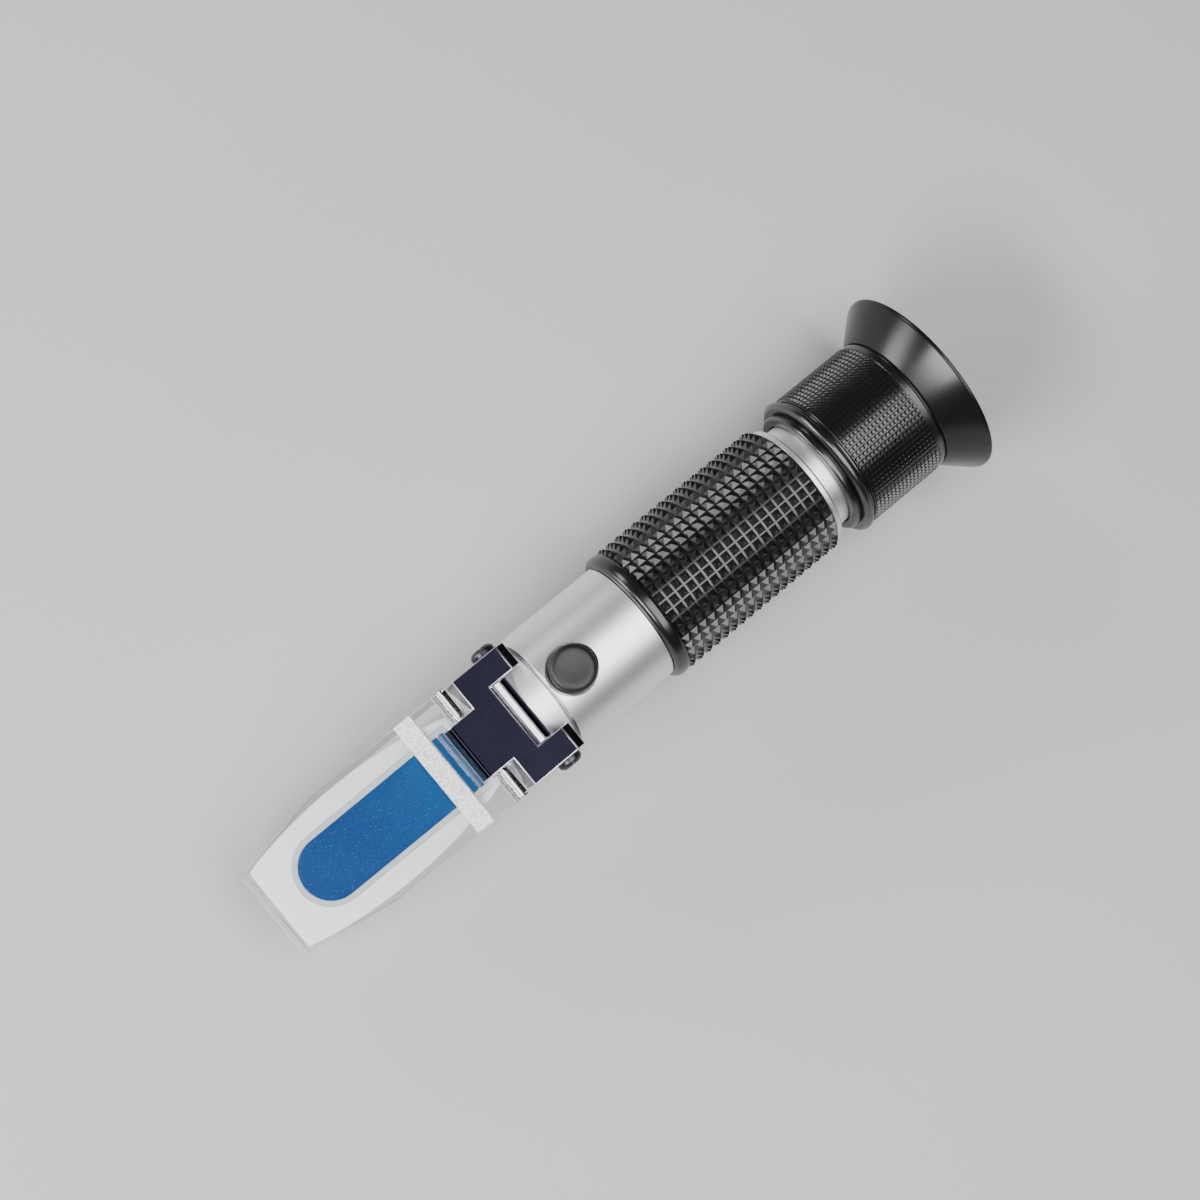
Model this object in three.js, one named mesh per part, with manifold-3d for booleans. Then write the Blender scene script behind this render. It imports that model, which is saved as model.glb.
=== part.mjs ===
// Hand-held optical refractometer, in millimetres, +Z up.
// +X runs along the optical axis from the prism end to the eyepiece, and the daylight plate is on top.
// Stations along the axis are counted from the front edge of the main tube; the finished instrument
// is then slid along X so that its origin lies on the optical axis at mid-length.
import * as THREE from "three";
import { mergeVertices } from "three/addons/utils/BufferGeometryUtils.js";
import Module from "manifold-3d";

// ---- driving dimensions ----------------------------------------------------------------------
// Fits
const snug = 0.1; // radial gap between pieces that seat in each other
const running = 0.3; // radial gap between pieces that turn or slide
const faceGap = 0.1; // gap between faces that rest on each other
const roundSteps = 40; // facets round the large turned pieces
const innerSteps = 32; // facets round the pieces inside the tube
const smallSteps = 24; // facets round lenses, screws, pins and the cap

// Main tube
const tubeRadius = 13;
const tubeWall = 1.9; // round the holder's plug
const bareLength = 23.5; // polished stretch ahead of the grip
const seatStep = 1; // the grip's seat is this much below the tube's surface
const seatWall = 1.8;
const neckWall = 1.5; // thinner rear end that carries the focus ring
const neckReach = 15; // neck beyond the rear collar
const plugDepth = 13; // how far the prism holder enters the tube

// Grip and the collar behind it
const gripLength = 43;
const gripWall = 2.65;
const bandLength = 3; // smooth band at the grip's front
const collarLength = 1.4;
const collarWall = 1.7;

// Prism holder, from the tube's front edge forwards
const noseLength = 64.3;
const noseStep = 1.3; // the nose is this much below the tube's surface
const saddleStep = 0.9; // and the saddle under the hinge block this much
const saddleLength = 14.3;
const noseFloor = 4.3; // metal under the front end of the inclined face
const hingeDrop = 3.3; // the inclined face is this far below the saddle's crown at the pin
const holderWall = 2.5; // round the wide light bore
const lightBoreRadius = 5;
const lightBoreStep = 9; // the wide bore ends this far ahead of the tube
const lightBoreReach = 38; // and the narrow bore this far

// Prism and its seal, measured in the inclined face
const prismSideMargin = 5.3; // from the nose's radius to the edge of the glass
const prismStart = 4.6; // from the hinge pin, along the face
const prismEnd = 44.2;
const prismDepth = 4;
const sealWidth = 1.1;

// Daylight plate and hinge
const pinStation = 16.9; // hinge pin, ahead of the tube
const pinRadius = 0.9;
const knuckleRadius = 1.85;
const plateThickness = 2.6;
const plateGap = 0.15; // between the plate and the face at rest
const plateTipInset = 1.85; // plate's tip is narrower than the nose on each side
const plateRearMargin = 1.2; // and its rear wider
const plateTaperStart = 31.8; // from the pin, along the plate
const plateSlotDepth = 5.2; // slot for the hinge block's nose
const lipThickness = 1.7; // turned-down front edge
const lipDrop = 2.5;
const lipClearance = 0.25;

// Hinge block
const blockCover = 1.5; // metal above the saddle's crown
const blockSide = 0.5; // metal beyond the saddle's side
const blockFront = 14; // front of the wide part, ahead of the tube
const blockRear = 1.1;
const blockChamfer = 2;
const blockSkirt = 1.5; // lower edge, above the axis
const blockNoseFront = 20.4;
const blockNoseHalf = 6.1;
const blockNoseRound = 1.2;
const notchFront = 8.9;
const notchHalf = 7.2;
const ledgeSink = 0.5; // ledge across the notch's front, below the block's top
const ledgeFlat = 1.2; // its level part
const ledgeReach = 3.6; // to the end of its hollow slope on the saddle's crown
const ledgeLip = 0.15; // metal left at that end
const ledgeFoot = 0.6; // how much further it runs at the saddle's sides

// Side screws of the hinge block
const sideScrewStation = 4.3;
const sideScrewHeight = 5;
const sideScrewHead = 2.6;
const sideScrewHeadHeight = 1.8;
const sideScrewShank = 1.2;
const sideScrewLength = 4.2;

// Calibration port
const portStation = 5.8; // behind the tube's front edge
const portGap = 0.45; // round the cap
const capRadius = 4.75;
const capStand = 2.4; // the cap stands this far above the tube
const bushingRadius = 2.6;
const adjusterRadius = 1.5;
const adjusterSink = 0.6; // head of the adjuster below the plug's surface
const cellRoom = 1.1; // between the lens cell and the bore, for its adjustment

// Objective lens cell and its bimetal strips
const cellStart = 2.4;
const cellLength = 8;
const cellWall = 1.6;
const lensThickness = 3;
const flatDrop = 0.25; // flats for the strips, below the cell's surface
const stripWidth = 3.6;
const stripThickness = 0.35;
const stripLap = 2.4; // strip's length on each end's flat
const carrierStart = 15.4;
const carrierSleeve = 3.2;
const carrierFlange = 2.4;
const stripScrewHead = 1.1;
const stripScrewShank = 0.6;
const stripScrewReach = 1.2;

// Aperture stop and reticle
const stopStation = 36;
const stopThickness = 0.8;
const stopRadius = 5.5;
const reticleStation = 62.4;
const reticleThickness = 1.5;
const reticleWall = 2;
const reticleLip = 1.2;
const retainerLength = 1.4;

// Eyepiece carriage and focus ring
const ringGap = 3.1; // bare neck between the collar and the focus ring
const ringWall = 1.9; // at the thin front step
const ringStepLength = 1.6;
const flangeLength = 2;
const flangeRise = 3.85; // above the ring's bore
const grooveLength = 0.8;
const grooveCut = 1.6;
const knurlLength = 17;
const knurlRise = 3.5;
const ringLipLength = 1.5;
const ringLipRise = 3.3;
const ringRetainerLength = 1.6;
const travelIn = 2.4; // carriage travel towards the tube
const flangeRoom = 0.8; // left between the neck's end and the barrel's flange at the end of it
const barrelLength = 9.2;
const barrelFlange = 3.4;
const barrelFlangeRise = 1.2; // above the ring's front bore
const barrelWall = 1.6;
const barrelLip = 1.6;
const glassThickness = 3.4;
const spacerLength = 2.4;
const guidePinRadius = 0.9;
const guidePinInset = 2.7; // behind the barrel's front end

// O-rings
const oRingSection = 0.5;
const grooveSlack = 0.1; // groove beyond the ring on each side
const noseRingStation = 10.7;
const neckRingInset = 7.2; // behind the rear collar

// Eyecup
const eyecupLength = 7.6;
const eyecupFlare = 5.7; // rim beyond the ring's lip
const eyecupRimWidth = 1.5;
const eyecupSleeve = 2.6;
const eyecupSleeveWall = 1.3;

// ---- sizes that follow -----------------------------------------------------------------------
const tubeBore = tubeRadius - tubeWall;
const seatRadius = tubeRadius - seatStep;
const rearBore = seatRadius - seatWall;
const neckRadius = rearBore + neckWall;
const gripStart = bareLength;
const gripEnd = gripStart + gripLength;
const collarStart = gripEnd + faceGap;
const collarEnd = collarStart + collarLength;
const neckEnd = collarEnd + neckReach;

const noseRadius = tubeRadius - noseStep;
const saddleRadius = tubeRadius - saddleStep;
const plugRadius = tubeBore - snug;
const plugBore = plugRadius - holderWall;

const ringStart = collarEnd + ringGap;
const flangeStart = ringStart + ringStepLength;
const knurlStart = flangeStart + flangeLength + grooveLength;
const knurlEnd = knurlStart + knurlLength;
const ringEnd = knurlEnd + ringLipLength;
const rimStation = ringEnd + eyecupLength;
const ringBore = neckRadius + running;
const ringRearBore = ringBore + barrelFlangeRise + snug;
const ringLipRadius = ringBore + ringLipRise;
const rimRadius = ringLipRadius + eyecupFlare;

const barrelRadius = rearBore - snug;
const flangeFace = neckEnd + travelIn + flangeRoom;
const barrelFront = flangeFace - barrelLength;
const barrelEnd = flangeFace + barrelFlange;
const barrelBore = barrelRadius - barrelWall;
const glassRadius = barrelBore - snug;

// The inclined face rises from the nose's front end to the hinge pin.
const faceFrontZ = noseFloor - noseRadius;
const faceHingeZ = saddleRadius - hingeDrop;
const tilt = Math.atan2(faceHingeZ - faceFrontZ, noseLength - pinStation);
const faceDrop = knuckleRadius + plateGap; // pin to face, square to the face
const pinZ = faceHingeZ + faceDrop / Math.cos(tilt);
const guidePinStation = barrelFront + guidePinInset;

const neckRingStation = collarEnd + neckRingInset;
const neckRingCentre = ringBore - snug / 2 - oRingSection;
const neckGrooveRadius = neckRingCentre - oRingSection - snug / 2;
const noseRingCentre = tubeBore - snug / 2 - oRingSection;
const noseGrooveRadius = noseRingCentre - oRingSection - snug / 2;
const ringGrooveHalf = oRingSection + grooveSlack;

const cellRadius = plugBore - cellRoom;
const portRadius = capRadius + portGap;
const blockTop = saddleRadius + blockCover;
const blockHalf = saddleRadius + blockSide;

const lipInside = -noseLength - lipClearance;
const tipStation = lipInside - lipThickness;
const plateTip = (-tipStation - pinStation) / Math.cos(tilt); // from the pin, along the plate
const plateTipHalf = noseRadius - plateTipInset;
const plateRearHalf = noseRadius + plateRearMargin;
const prismHalf = noseRadius - prismSideMargin;

// Height, at a station, of the plane that lies this far above the pin, square to the face
const heightAt = (station, above) => pinZ + above / Math.cos(tilt) + (station + pinStation) * Math.tan(tilt);

// Frame of the inclined face: origin at the pin, +X towards the tip, +Z away from the holder
const faceFrame = new THREE.Matrix4()
  .makeTranslation(-pinStation, 0, pinZ)
  .multiply(new THREE.Matrix4().makeRotationY(-tilt))
  .multiply(new THREE.Matrix4().makeRotationZ(Math.PI));

// ---- materials -------------------------------------------------------------------------------
const finish = (color, roughness, metalness, more = {}) =>
  new THREE.MeshStandardMaterial({ color, roughness, metalness, ...more });
const satinAluminium = finish(0xd9dade, 0.32, 0.95);
const brightChrome = finish(0xe6e6ec, 0.12, 1);
const darkChrome = finish(0x1c2130, 0.1, 0.9);
const blackRubber = finish(0x101012, 0.45, 0);
const blackPlastic = finish(0x0c0c0e, 0.35, 0);
const blackAnodised = finish(0x17181a, 0.5, 0.6);
const steel = finish(0xbfc1c4, 0.25, 1);
const brass = finish(0xc49a4a, 0.3, 1);
const sealant = finish(0xb9bcc4, 0.6, 0);
const blueGlass = finish(0x2d69a5, 0.05, 0, { transparent: true, opacity: 0.9 });
const clearGlass = finish(0xdfe8ea, 0.03, 0, { transparent: true, opacity: 0.35 });
const clearAcrylic = finish(0xf2f4f6, 0.05, 0, { transparent: true, opacity: 0.3 });

// ---- building blocks -------------------------------------------------------------------------
const wasm = await Module();
wasm.setup();

const instrument = new THREE.Group();

function addMesh(name, geometry, material) {
  const mesh = new THREE.Mesh(geometry, material);
  mesh.name = name;
  instrument.add(mesh);
}

// Revolves [station, radius] points about the optical axis. Points run towards the eye on the
// outside and back on the inside, and the outline closes on itself or on the axis.
function turned(outline, steps = roundSteps) {
  const points = outline.map(([station, radius]) => new THREE.Vector2(radius, station));
  if (outline[0][1] > 0) points.push(points[0].clone());
  return new THREE.LatheGeometry(points, steps).rotateZ(-Math.PI / 2);
}

// Revolves [height, radius] points about the vertical through a station of the axis.
function turnedUpright(outline, station, steps = smallSteps) {
  const points = outline.map(([height, radius]) => new THREE.Vector2(radius, height));
  if (outline[0][1] > 0) points.push(points[0].clone());
  return new THREE.LatheGeometry(points, steps).rotateX(Math.PI / 2).translate(station, 0, 0);
}

const disc = (from, to, radius) => [[from, 0], [from, radius], [to, radius], [to, 0]];
const band = (from, to, outer, inner) => [[from, outer], [to, outer], [to, inner], [from, inner]];

// A box between two corners
function box(low, high) {
  const size = high.map((value, axis) => value - low[axis]);
  const middle = high.map((value, axis) => (value + low[axis]) / 2);
  return new THREE.BoxGeometry(...size).translate(...middle);
}

// A plane outline of [x, y] points or a Shape, raised from one height to another
function raised(outline, from, to) {
  const points = (list) => list.map((point) => new THREE.Vector2(...point));
  const shape = outline instanceof THREE.Shape ? outline : new THREE.Shape(points(outline));
  const options = { depth: to - from, bevelEnabled: false, curveSegments: 12 };
  return new THREE.ExtrudeGeometry(shape, options).translate(0, 0, from);
}

function solid(geometry) {
  const bare = geometry.clone();
  bare.deleteAttribute("normal");
  bare.deleteAttribute("uv");
  const merged = mergeVertices(bare, 1e-4);
  const index = merged.index.array;
  const kept = [];
  for (let i = 0; i < index.length; i += 3) {
    const [a, b, c] = [index[i], index[i + 1], index[i + 2]];
    if (a !== b && b !== c && c !== a) kept.push(a, b, c);
  }
  return new wasm.Manifold(
    new wasm.Mesh({
      numProp: 3,
      vertProperties: new Float32Array(merged.attributes.position.array),
      triVerts: new Uint32Array(kept),
    }),
  );
}

function addSolid(name, body, material) {
  const { vertProperties, triVerts } = body.getMesh();
  const geometry = new THREE.BufferGeometry();
  geometry.setAttribute("position", new THREE.BufferAttribute(new Float32Array(vertProperties), 3));
  geometry.setIndex(new THREE.BufferAttribute(new Uint32Array(triVerts), 1));
  geometry.computeVertexNormals();
  addMesh(name, geometry, material);
}

const addTurned = (name, outline, material, steps) => addSolid(name, solid(turned(outline, steps)), material);
const onFace = (geometry) => geometry.applyMatrix4(faceFrame);

// Lens outline between the stations of its two crowns; a bulge of zero makes that side flat
function lens(from, to, radius, frontBulge, backBulge, arcs = 5) {
  const outline = [];
  for (let i = 0; i <= arcs; i++) {
    const share = i / arcs;
    outline.push([from + frontBulge * share * share, radius * share]);
  }
  for (let i = arcs; i >= 0; i--) {
    const share = i / arcs;
    outline.push([to - backBulge * share * share, radius * share]);
  }
  return outline;
}

// O-ring of round section on a shaft
function oRing(station, centreRadius, section, sides = 8) {
  const outline = [];
  for (let i = 0; i < sides; i++) {
    const turn = (i / sides) * 2 * Math.PI;
    outline.push([station - section * Math.cos(turn), centreRadius + section * Math.sin(turn)]);
  }
  return outline;
}

// ---- main tube and what sits on it -----------------------------------------------------------
function buildTube() {
  const body = turned([
    [0, tubeRadius - 0.4],
    [0.4, tubeRadius],
    [gripStart, tubeRadius],
    [gripStart, seatRadius],
    [gripEnd, seatRadius],
    [gripEnd, neckRadius],
    [neckRingStation - ringGrooveHalf, neckRadius],
    [neckRingStation - ringGrooveHalf, neckGrooveRadius],
    [neckRingStation + ringGrooveHalf, neckGrooveRadius],
    [neckRingStation + ringGrooveHalf, neckRadius],
    [neckEnd, neckRadius],
    [neckEnd, rearBore],
    [plugDepth + faceGap, rearBore],
    [plugDepth + faceGap, tubeBore],
    [0, tubeBore],
  ]);
  const port = turnedUpright(disc(0, tubeRadius + 1, portRadius), portStation);
  // Slot for the guide pin, open at the rear
  const slotFront = guidePinStation - travelIn - guidePinRadius - running;
  const slotHalf = guidePinRadius + snug;
  const slot = box([slotFront, -slotHalf, -neckRadius - 1], [neckEnd + 1, slotHalf, -rearBore / 2]);
  addSolid("main_tube", solid(body).subtract(solid(port)).subtract(solid(slot)), satinAluminium);
}

function buildGrip() {
  const from = gripStart + faceGap;
  const bore = seatRadius + snug;
  const outer = seatRadius + gripWall;
  addTurned("rubber_grip", [
    [from, outer - 1],
    [from + 0.5, outer - 0.3],
    [from + 1.5, outer - 0.1],
    [from + bandLength, outer - 0.1],
    [from + bandLength, outer],
    [gripEnd - 0.5, outer],
    [gripEnd, outer - 0.5],
    [gripEnd, bore],
    [from, bore],
  ], blackRubber);
  const collarRadius = neckRadius + collarWall;
  addTurned("rear_collar", [
    [collarStart, collarRadius],
    [collarEnd - 0.4, collarRadius],
    [collarEnd, collarRadius - 0.4],
    [collarEnd, neckRadius + snug],
    [collarStart, neckRadius + snug],
  ], satinAluminium);
}

// ---- prism holder, prism and seal ------------------------------------------------------------
// Outline of the window in the face: square at the hinge end, half round at the tip
function windowShape(growth) {
  const half = prismHalf + growth;
  const shape = new THREE.Shape();
  shape.moveTo(prismStart - growth, -half);
  shape.lineTo(prismEnd - prismHalf, -half);
  shape.absarc(prismEnd - prismHalf, 0, half, -Math.PI / 2, Math.PI / 2, false);
  shape.lineTo(prismStart - growth, half);
  return shape;
}

const pocket = (growth, depth) => onFace(raised(windowShape(growth), -faceDrop - depth, -faceDrop + 1));

function buildHolder() {
  const body = turned([
    [-noseLength, 0],
    [-noseLength, noseRadius - 0.4],
    [-noseLength + 0.4, noseRadius],
    [-saddleLength, noseRadius],
    [-saddleLength, saddleRadius],
    [-0.3, saddleRadius],
    [-0.3, plugRadius],
    [noseRingStation - ringGrooveHalf, plugRadius],
    [noseRingStation - ringGrooveHalf, noseGrooveRadius],
    [noseRingStation + ringGrooveHalf, noseGrooveRadius],
    [noseRingStation + ringGrooveHalf, plugRadius],
    [plugDepth, plugRadius],
    [plugDepth, plugBore],
    [-lightBoreStep, plugBore],
    [-lightBoreStep, lightBoreRadius],
    [-lightBoreReach, lightBoreRadius],
    [-lightBoreReach, 0],
  ]);
  // Everything above the inclined face goes, back to the front of the saddle
  const aboveFace = onFace(box([-20, -30, -faceDrop], [plateTip + 20, 30, 40]));
  const nose = box([-noseLength - 5, -30, -30], [-saddleLength, 30, 30]);
  const cut = solid(aboveFace).intersect(solid(nose));
  const portHole = turnedUpright(disc(0, plugRadius + 1, bushingRadius + snug / 2), portStation);
  let holder = solid(body).subtract(cut).subtract(solid(pocket(sealWidth + snug, prismDepth + faceGap)));
  holder = holder.subtract(solid(portHole));
  for (const side of [-1, 1]) holder = holder.subtract(solid(sideHole(side)));
  addSolid("prism_holder", holder, brightChrome);
}

// The prism's top stands a hair above the seal, flush with the face
function buildPrism() {
  const floor = -faceDrop - prismDepth;
  addSolid("prism", solid(onFace(raised(windowShape(0), floor, -faceDrop))), blueGlass);
  const ring = windowShape(sealWidth);
  ring.holes.push(windowShape(snug / 2));
  addSolid("prism_seal", solid(onFace(raised(ring, floor, -faceDrop - 0.05))), sealant);
}

// ---- hinge block, pin and side screws --------------------------------------------------------
// Turned about the axis through the side screws, on one side of the block
function sideTurned(outline, side) {
  return turned(outline, smallSteps)
    .rotateZ((side * Math.PI) / 2)
    .translate(-sideScrewStation, 0, sideScrewHeight);
}

function sideHole(side) {
  const depth = blockHalf - sideScrewLength - 0.5;
  return sideTurned(disc(depth, blockHalf + 1, sideScrewShank + snug), side);
}

const alongPin = (outline) =>
  turned(outline, smallSteps).rotateZ(Math.PI / 2).translate(-pinStation, 0, pinZ);

function buildHingeBlock() {
  const side = [
    [-blockFront, blockSkirt],
    [-blockRear, blockSkirt],
    [-blockRear, blockTop - blockChamfer],
    [-blockRear - blockChamfer, blockTop],
    [-blockFront, blockTop],
  ];
  const nose = new THREE.Shape();
  nose.moveTo(-blockFront + 1, 0);
  nose.lineTo(-blockFront + 1, blockTop);
  nose.lineTo(-blockNoseFront + blockNoseRound, blockTop);
  nose.quadraticCurveTo(-blockNoseFront, blockTop, -blockNoseFront, blockTop - blockNoseRound);
  nose.lineTo(-blockNoseFront, 0);
  const notchSide = new THREE.Shape();
  const ledgeTop = blockTop - ledgeSink;
  const crown = saddleRadius + ledgeLip;
  const ledgeEnd = -notchFront + ledgeReach + ledgeFoot;
  notchSide.moveTo(-notchFront, blockTop + 1);
  notchSide.lineTo(-notchFront, ledgeTop);
  notchSide.lineTo(-notchFront + ledgeFlat, ledgeTop);
  notchSide.quadraticCurveTo(-notchFront + 1.5 * ledgeFlat, crown, -notchFront + ledgeReach, crown);
  notchSide.lineTo(ledgeEnd, Math.sqrt(saddleRadius ** 2 - notchHalf ** 2));
  notchSide.lineTo(ledgeEnd, 0);
  notchSide.lineTo(0, 0);
  notchSide.lineTo(0, blockTop + 1);
  const notch = raised(notchSide, -notchHalf, notchHalf).rotateX(Math.PI / 2);
  const wide = solid(raised(side, -blockHalf, blockHalf).rotateX(Math.PI / 2));
  const forward = solid(raised(nose, -blockNoseHalf, blockNoseHalf).rotateX(Math.PI / 2));
  const underFace = onFace(box([-4, -20, -40], [plateTip, 20, -faceDrop + faceGap]));
  const overSaddle = turned(disc(-saddleLength - faceGap, 0, saddleRadius + faceGap));
  const ahead = box([-40, -20, -20], [-saddleLength, 20, 40]);
  let block = wide.subtract(solid(notch)).add(forward);
  block = block.subtract(solid(underFace).intersect(solid(ahead))).subtract(solid(overSaddle));
  block = block.subtract(solid(alongPin(disc(-blockHalf, blockHalf, pinRadius + snug / 2))));
  for (const way of [-1, 1]) block = block.subtract(solid(sideHole(way)));
  addSolid("hinge_block", block, darkChrome);
  addSolid("hinge_pin", solid(alongPin(disc(-plateRearHalf, plateRearHalf, pinRadius))), steel);
}

function buildSideScrews() {
  const seat = blockHalf + faceGap / 2;
  const head = seat + sideScrewHeadHeight;
  const outline = [
    [blockHalf - sideScrewLength, 0],
    [blockHalf - sideScrewLength, sideScrewShank],
    [seat, sideScrewShank],
    [seat, sideScrewHead],
    [head - 0.7, sideScrewHead],
    [head - 0.2, sideScrewHead - 0.5],
    [head, sideScrewHead - 1.1],
    [head, 0],
  ];
  for (const [name, side] of [["hinge_screw_left", 1], ["hinge_screw_right", -1]]) {
    const slot = box([-sideScrewHead - 1, head - 0.7, -0.35], [sideScrewHead + 1, head + 1, 0.35]);
    if (side < 0) slot.rotateZ(Math.PI);
    slot.translate(-sideScrewStation, 0, sideScrewHeight);
    addSolid(name, solid(sideTurned(outline, side)).subtract(solid(slot)), steel);
  }
}

// ---- daylight plate --------------------------------------------------------------------------
// The plan is drawn in the frame of the inclined face, and the side view gives the plate's
// thickness and its lip, which hangs straight down in front of the nose.
function buildPlate() {
  const under = plateGap - faceDrop;
  const over = under + plateThickness;
  const plan = [
    [0, -plateRearHalf],
    [plateTaperStart, -plateRearHalf],
    [plateTip, -plateTipHalf],
    [plateTip + 3, -plateTipHalf],
    [plateTip + 3, plateTipHalf],
    [plateTip, plateTipHalf],
    [plateTaperStart, plateRearHalf],
    [0, plateRearHalf],
  ];
  const lipFoot = faceFrontZ - lipDrop;
  const sideView = [
    [-pinStation, heightAt(-pinStation, under)],
    [-pinStation, heightAt(-pinStation, over)],
    [tipStation, heightAt(tipStation, over)],
    [tipStation, lipFoot],
    [lipInside, lipFoot],
    [lipInside, heightAt(lipInside, under)],
  ];
  const slab = solid(onFace(raised(plan, -20, 20)));
  const section = solid(raised(sideView, -20, 20).rotateX(Math.PI / 2));
  const slotHalf = blockNoseHalf + running;
  const slot = onFace(box([-5, -slotHalf, under - 5], [plateSlotDepth, slotHalf, over + 5]));
  let plate = slab.intersect(section).add(solid(alongPin(disc(-plateRearHalf, plateRearHalf, knuckleRadius))));
  plate = plate.subtract(solid(slot));
  plate = plate.subtract(solid(alongPin(disc(-plateRearHalf - 1, plateRearHalf + 1, pinRadius + snug))));
  addSolid("daylight_plate", plate, clearAcrylic);
}

// ---- calibration port: cap, bushing and adjuster ---------------------------------------------
function buildPort() {
  const capFloor = plugRadius + 0.15;
  const capTop = tubeRadius + capStand;
  const cap = [
    [capFloor, 0],
    [capFloor, capRadius - 0.4],
    [capFloor + 0.4, capRadius],
    [capTop - 1.7, capRadius],
    [capTop - 0.9, capRadius - 0.3],
    [capTop - 0.3, capRadius - 1],
    [capTop, capRadius - 1.8],
    [capTop, capRadius - 2.4],
    [capTop - 0.25, capRadius - 2.6],
    [capTop - 0.25, 0],
  ];
  addSolid("calibration_cap", solid(turnedUpright(cap, portStation)), blackRubber);
  const bushing = band(plugBore + 0.1, plugRadius - 0.3, bushingRadius, adjusterRadius + snug);
  addSolid("calibration_bushing", solid(turnedUpright(bushing, portStation)), brass);
  const foot = cellRadius + faceGap / 2;
  const head = plugRadius - adjusterSink;
  const slot = box([portStation - 3, -0.3, head - 0.7], [portStation + 3, 0.3, head + 1]);
  const adjuster = solid(turnedUpright(disc(foot, head, adjusterRadius), portStation));
  addSolid("calibration_screw", adjuster.subtract(solid(slot)), steel);
}

// ---- objective lens in its cell, hung from two bimetal strips --------------------------------
function buildObjective() {
  const cellEnd = cellStart + cellLength;
  const cellBore = cellRadius - cellWall;
  const lensFrom = cellStart + 1 + faceGap;
  const lensTo = lensFrom + lensThickness;
  const flat = cellRadius - flatDrop;
  const flats = (from, to) =>
    [-1, 1].map((way) => {
      const low = way > 0 ? flat : -flat - 5;
      return solid(box([from, -10, low], [to, 10, low + 5]));
    });
  let cell = solid(turned([
    [cellStart, cellRadius],
    [cellEnd, cellRadius],
    [cellEnd, cellBore],
    [cellStart + 1, cellBore],
    [cellStart + 1, cellBore - 1],
    [cellStart, cellBore - 1],
  ], innerSteps));
  for (const cut of flats(cellEnd - stripLap, cellEnd + 1)) cell = cell.subtract(cut);
  addSolid("lens_cell", cell, blackAnodised);
  addTurned("objective_lens", lens(lensFrom, lensTo, cellBore - snug, 0.8, 0.8), clearGlass, smallSteps);
  const retainer = band(lensTo + faceGap, lensTo + faceGap + retainerLength, cellBore - snug, cellBore - 1);
  addTurned("objective_retainer", retainer, blackAnodised, innerSteps);

  const sleeveEnd = carrierStart + carrierSleeve;
  const flangeEnd = sleeveEnd + carrierFlange;
  let carrier = solid(turned([
    [carrierStart, cellRadius],
    [sleeveEnd, cellRadius],
    [sleeveEnd, rearBore - snug],
    [flangeEnd, rearBore - snug],
    [flangeEnd, cellBore],
    [carrierStart, cellBore],
  ], innerSteps));
  for (const cut of flats(carrierStart - 1, carrierStart + stripLap + faceGap)) carrier = carrier.subtract(cut);
  const screwStation = carrierStart + stripLap / 2;
  const stripFrom = cellEnd - stripLap + faceGap;
  const stripTo = carrierStart + stripLap;
  const stripFoot = flat + faceGap / 2;
  const stripTop = stripFoot + stripThickness;
  for (const [end, way] of [["top", 1], ["bottom", -1]]) {
    const upright = (outline) => {
      const shape = turnedUpright(outline, screwStation, 12);
      return way > 0 ? shape : shape.rotateX(Math.PI);
    };
    const low = way > 0 ? stripFoot : -stripTop;
    const bar = box([stripFrom, -stripWidth / 2, low], [stripTo, stripWidth / 2, low + stripThickness]);
    const hole = upright(disc(flat - stripScrewReach - 0.2, stripTop + 1, stripScrewShank + snug));
    addSolid(`bimetal_strip_${end}`, solid(bar).subtract(solid(hole)), brass);
    carrier = carrier.subtract(solid(hole));
    const screw = upright([
      [flat - stripScrewReach, 0],
      [flat - stripScrewReach, stripScrewShank],
      [stripTop + faceGap / 2, stripScrewShank],
      [stripTop + faceGap / 2, stripScrewHead],
      [stripTop + 0.6, stripScrewHead],
      [stripTop + 0.6, 0],
    ]);
    addSolid(`strip_screw_${end}`, solid(screw), steel);
  }
  addSolid("strip_carrier", carrier, blackAnodised);
}

// ---- aperture stop and reticle ---------------------------------------------------------------
function buildReticle() {
  const seat = rearBore - snug;
  const stop = band(stopStation, stopStation + stopThickness, seat, stopRadius);
  addTurned("aperture_stop", stop, blackAnodised, innerSteps);
  const bore = seat - reticleWall;
  const glassFront = reticleStation;
  const glassBack = glassFront + reticleThickness;
  const holderEnd = glassBack + faceGap + retainerLength;
  addTurned("reticle_holder", [
    [glassFront - faceGap - reticleLip, seat],
    [holderEnd, seat],
    [holderEnd, bore],
    [glassFront - faceGap, bore],
    [glassFront - faceGap, bore - 1.2],
    [glassFront - faceGap - reticleLip, bore - 1.2],
  ], blackAnodised, innerSteps);
  const retainer = band(glassBack + faceGap, holderEnd, bore - snug, bore - 1.2);
  addTurned("reticle", disc(glassFront, glassBack, bore - snug), clearGlass, innerSteps);
  addTurned("reticle_retainer", retainer, blackAnodised, innerSteps);
}

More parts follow.
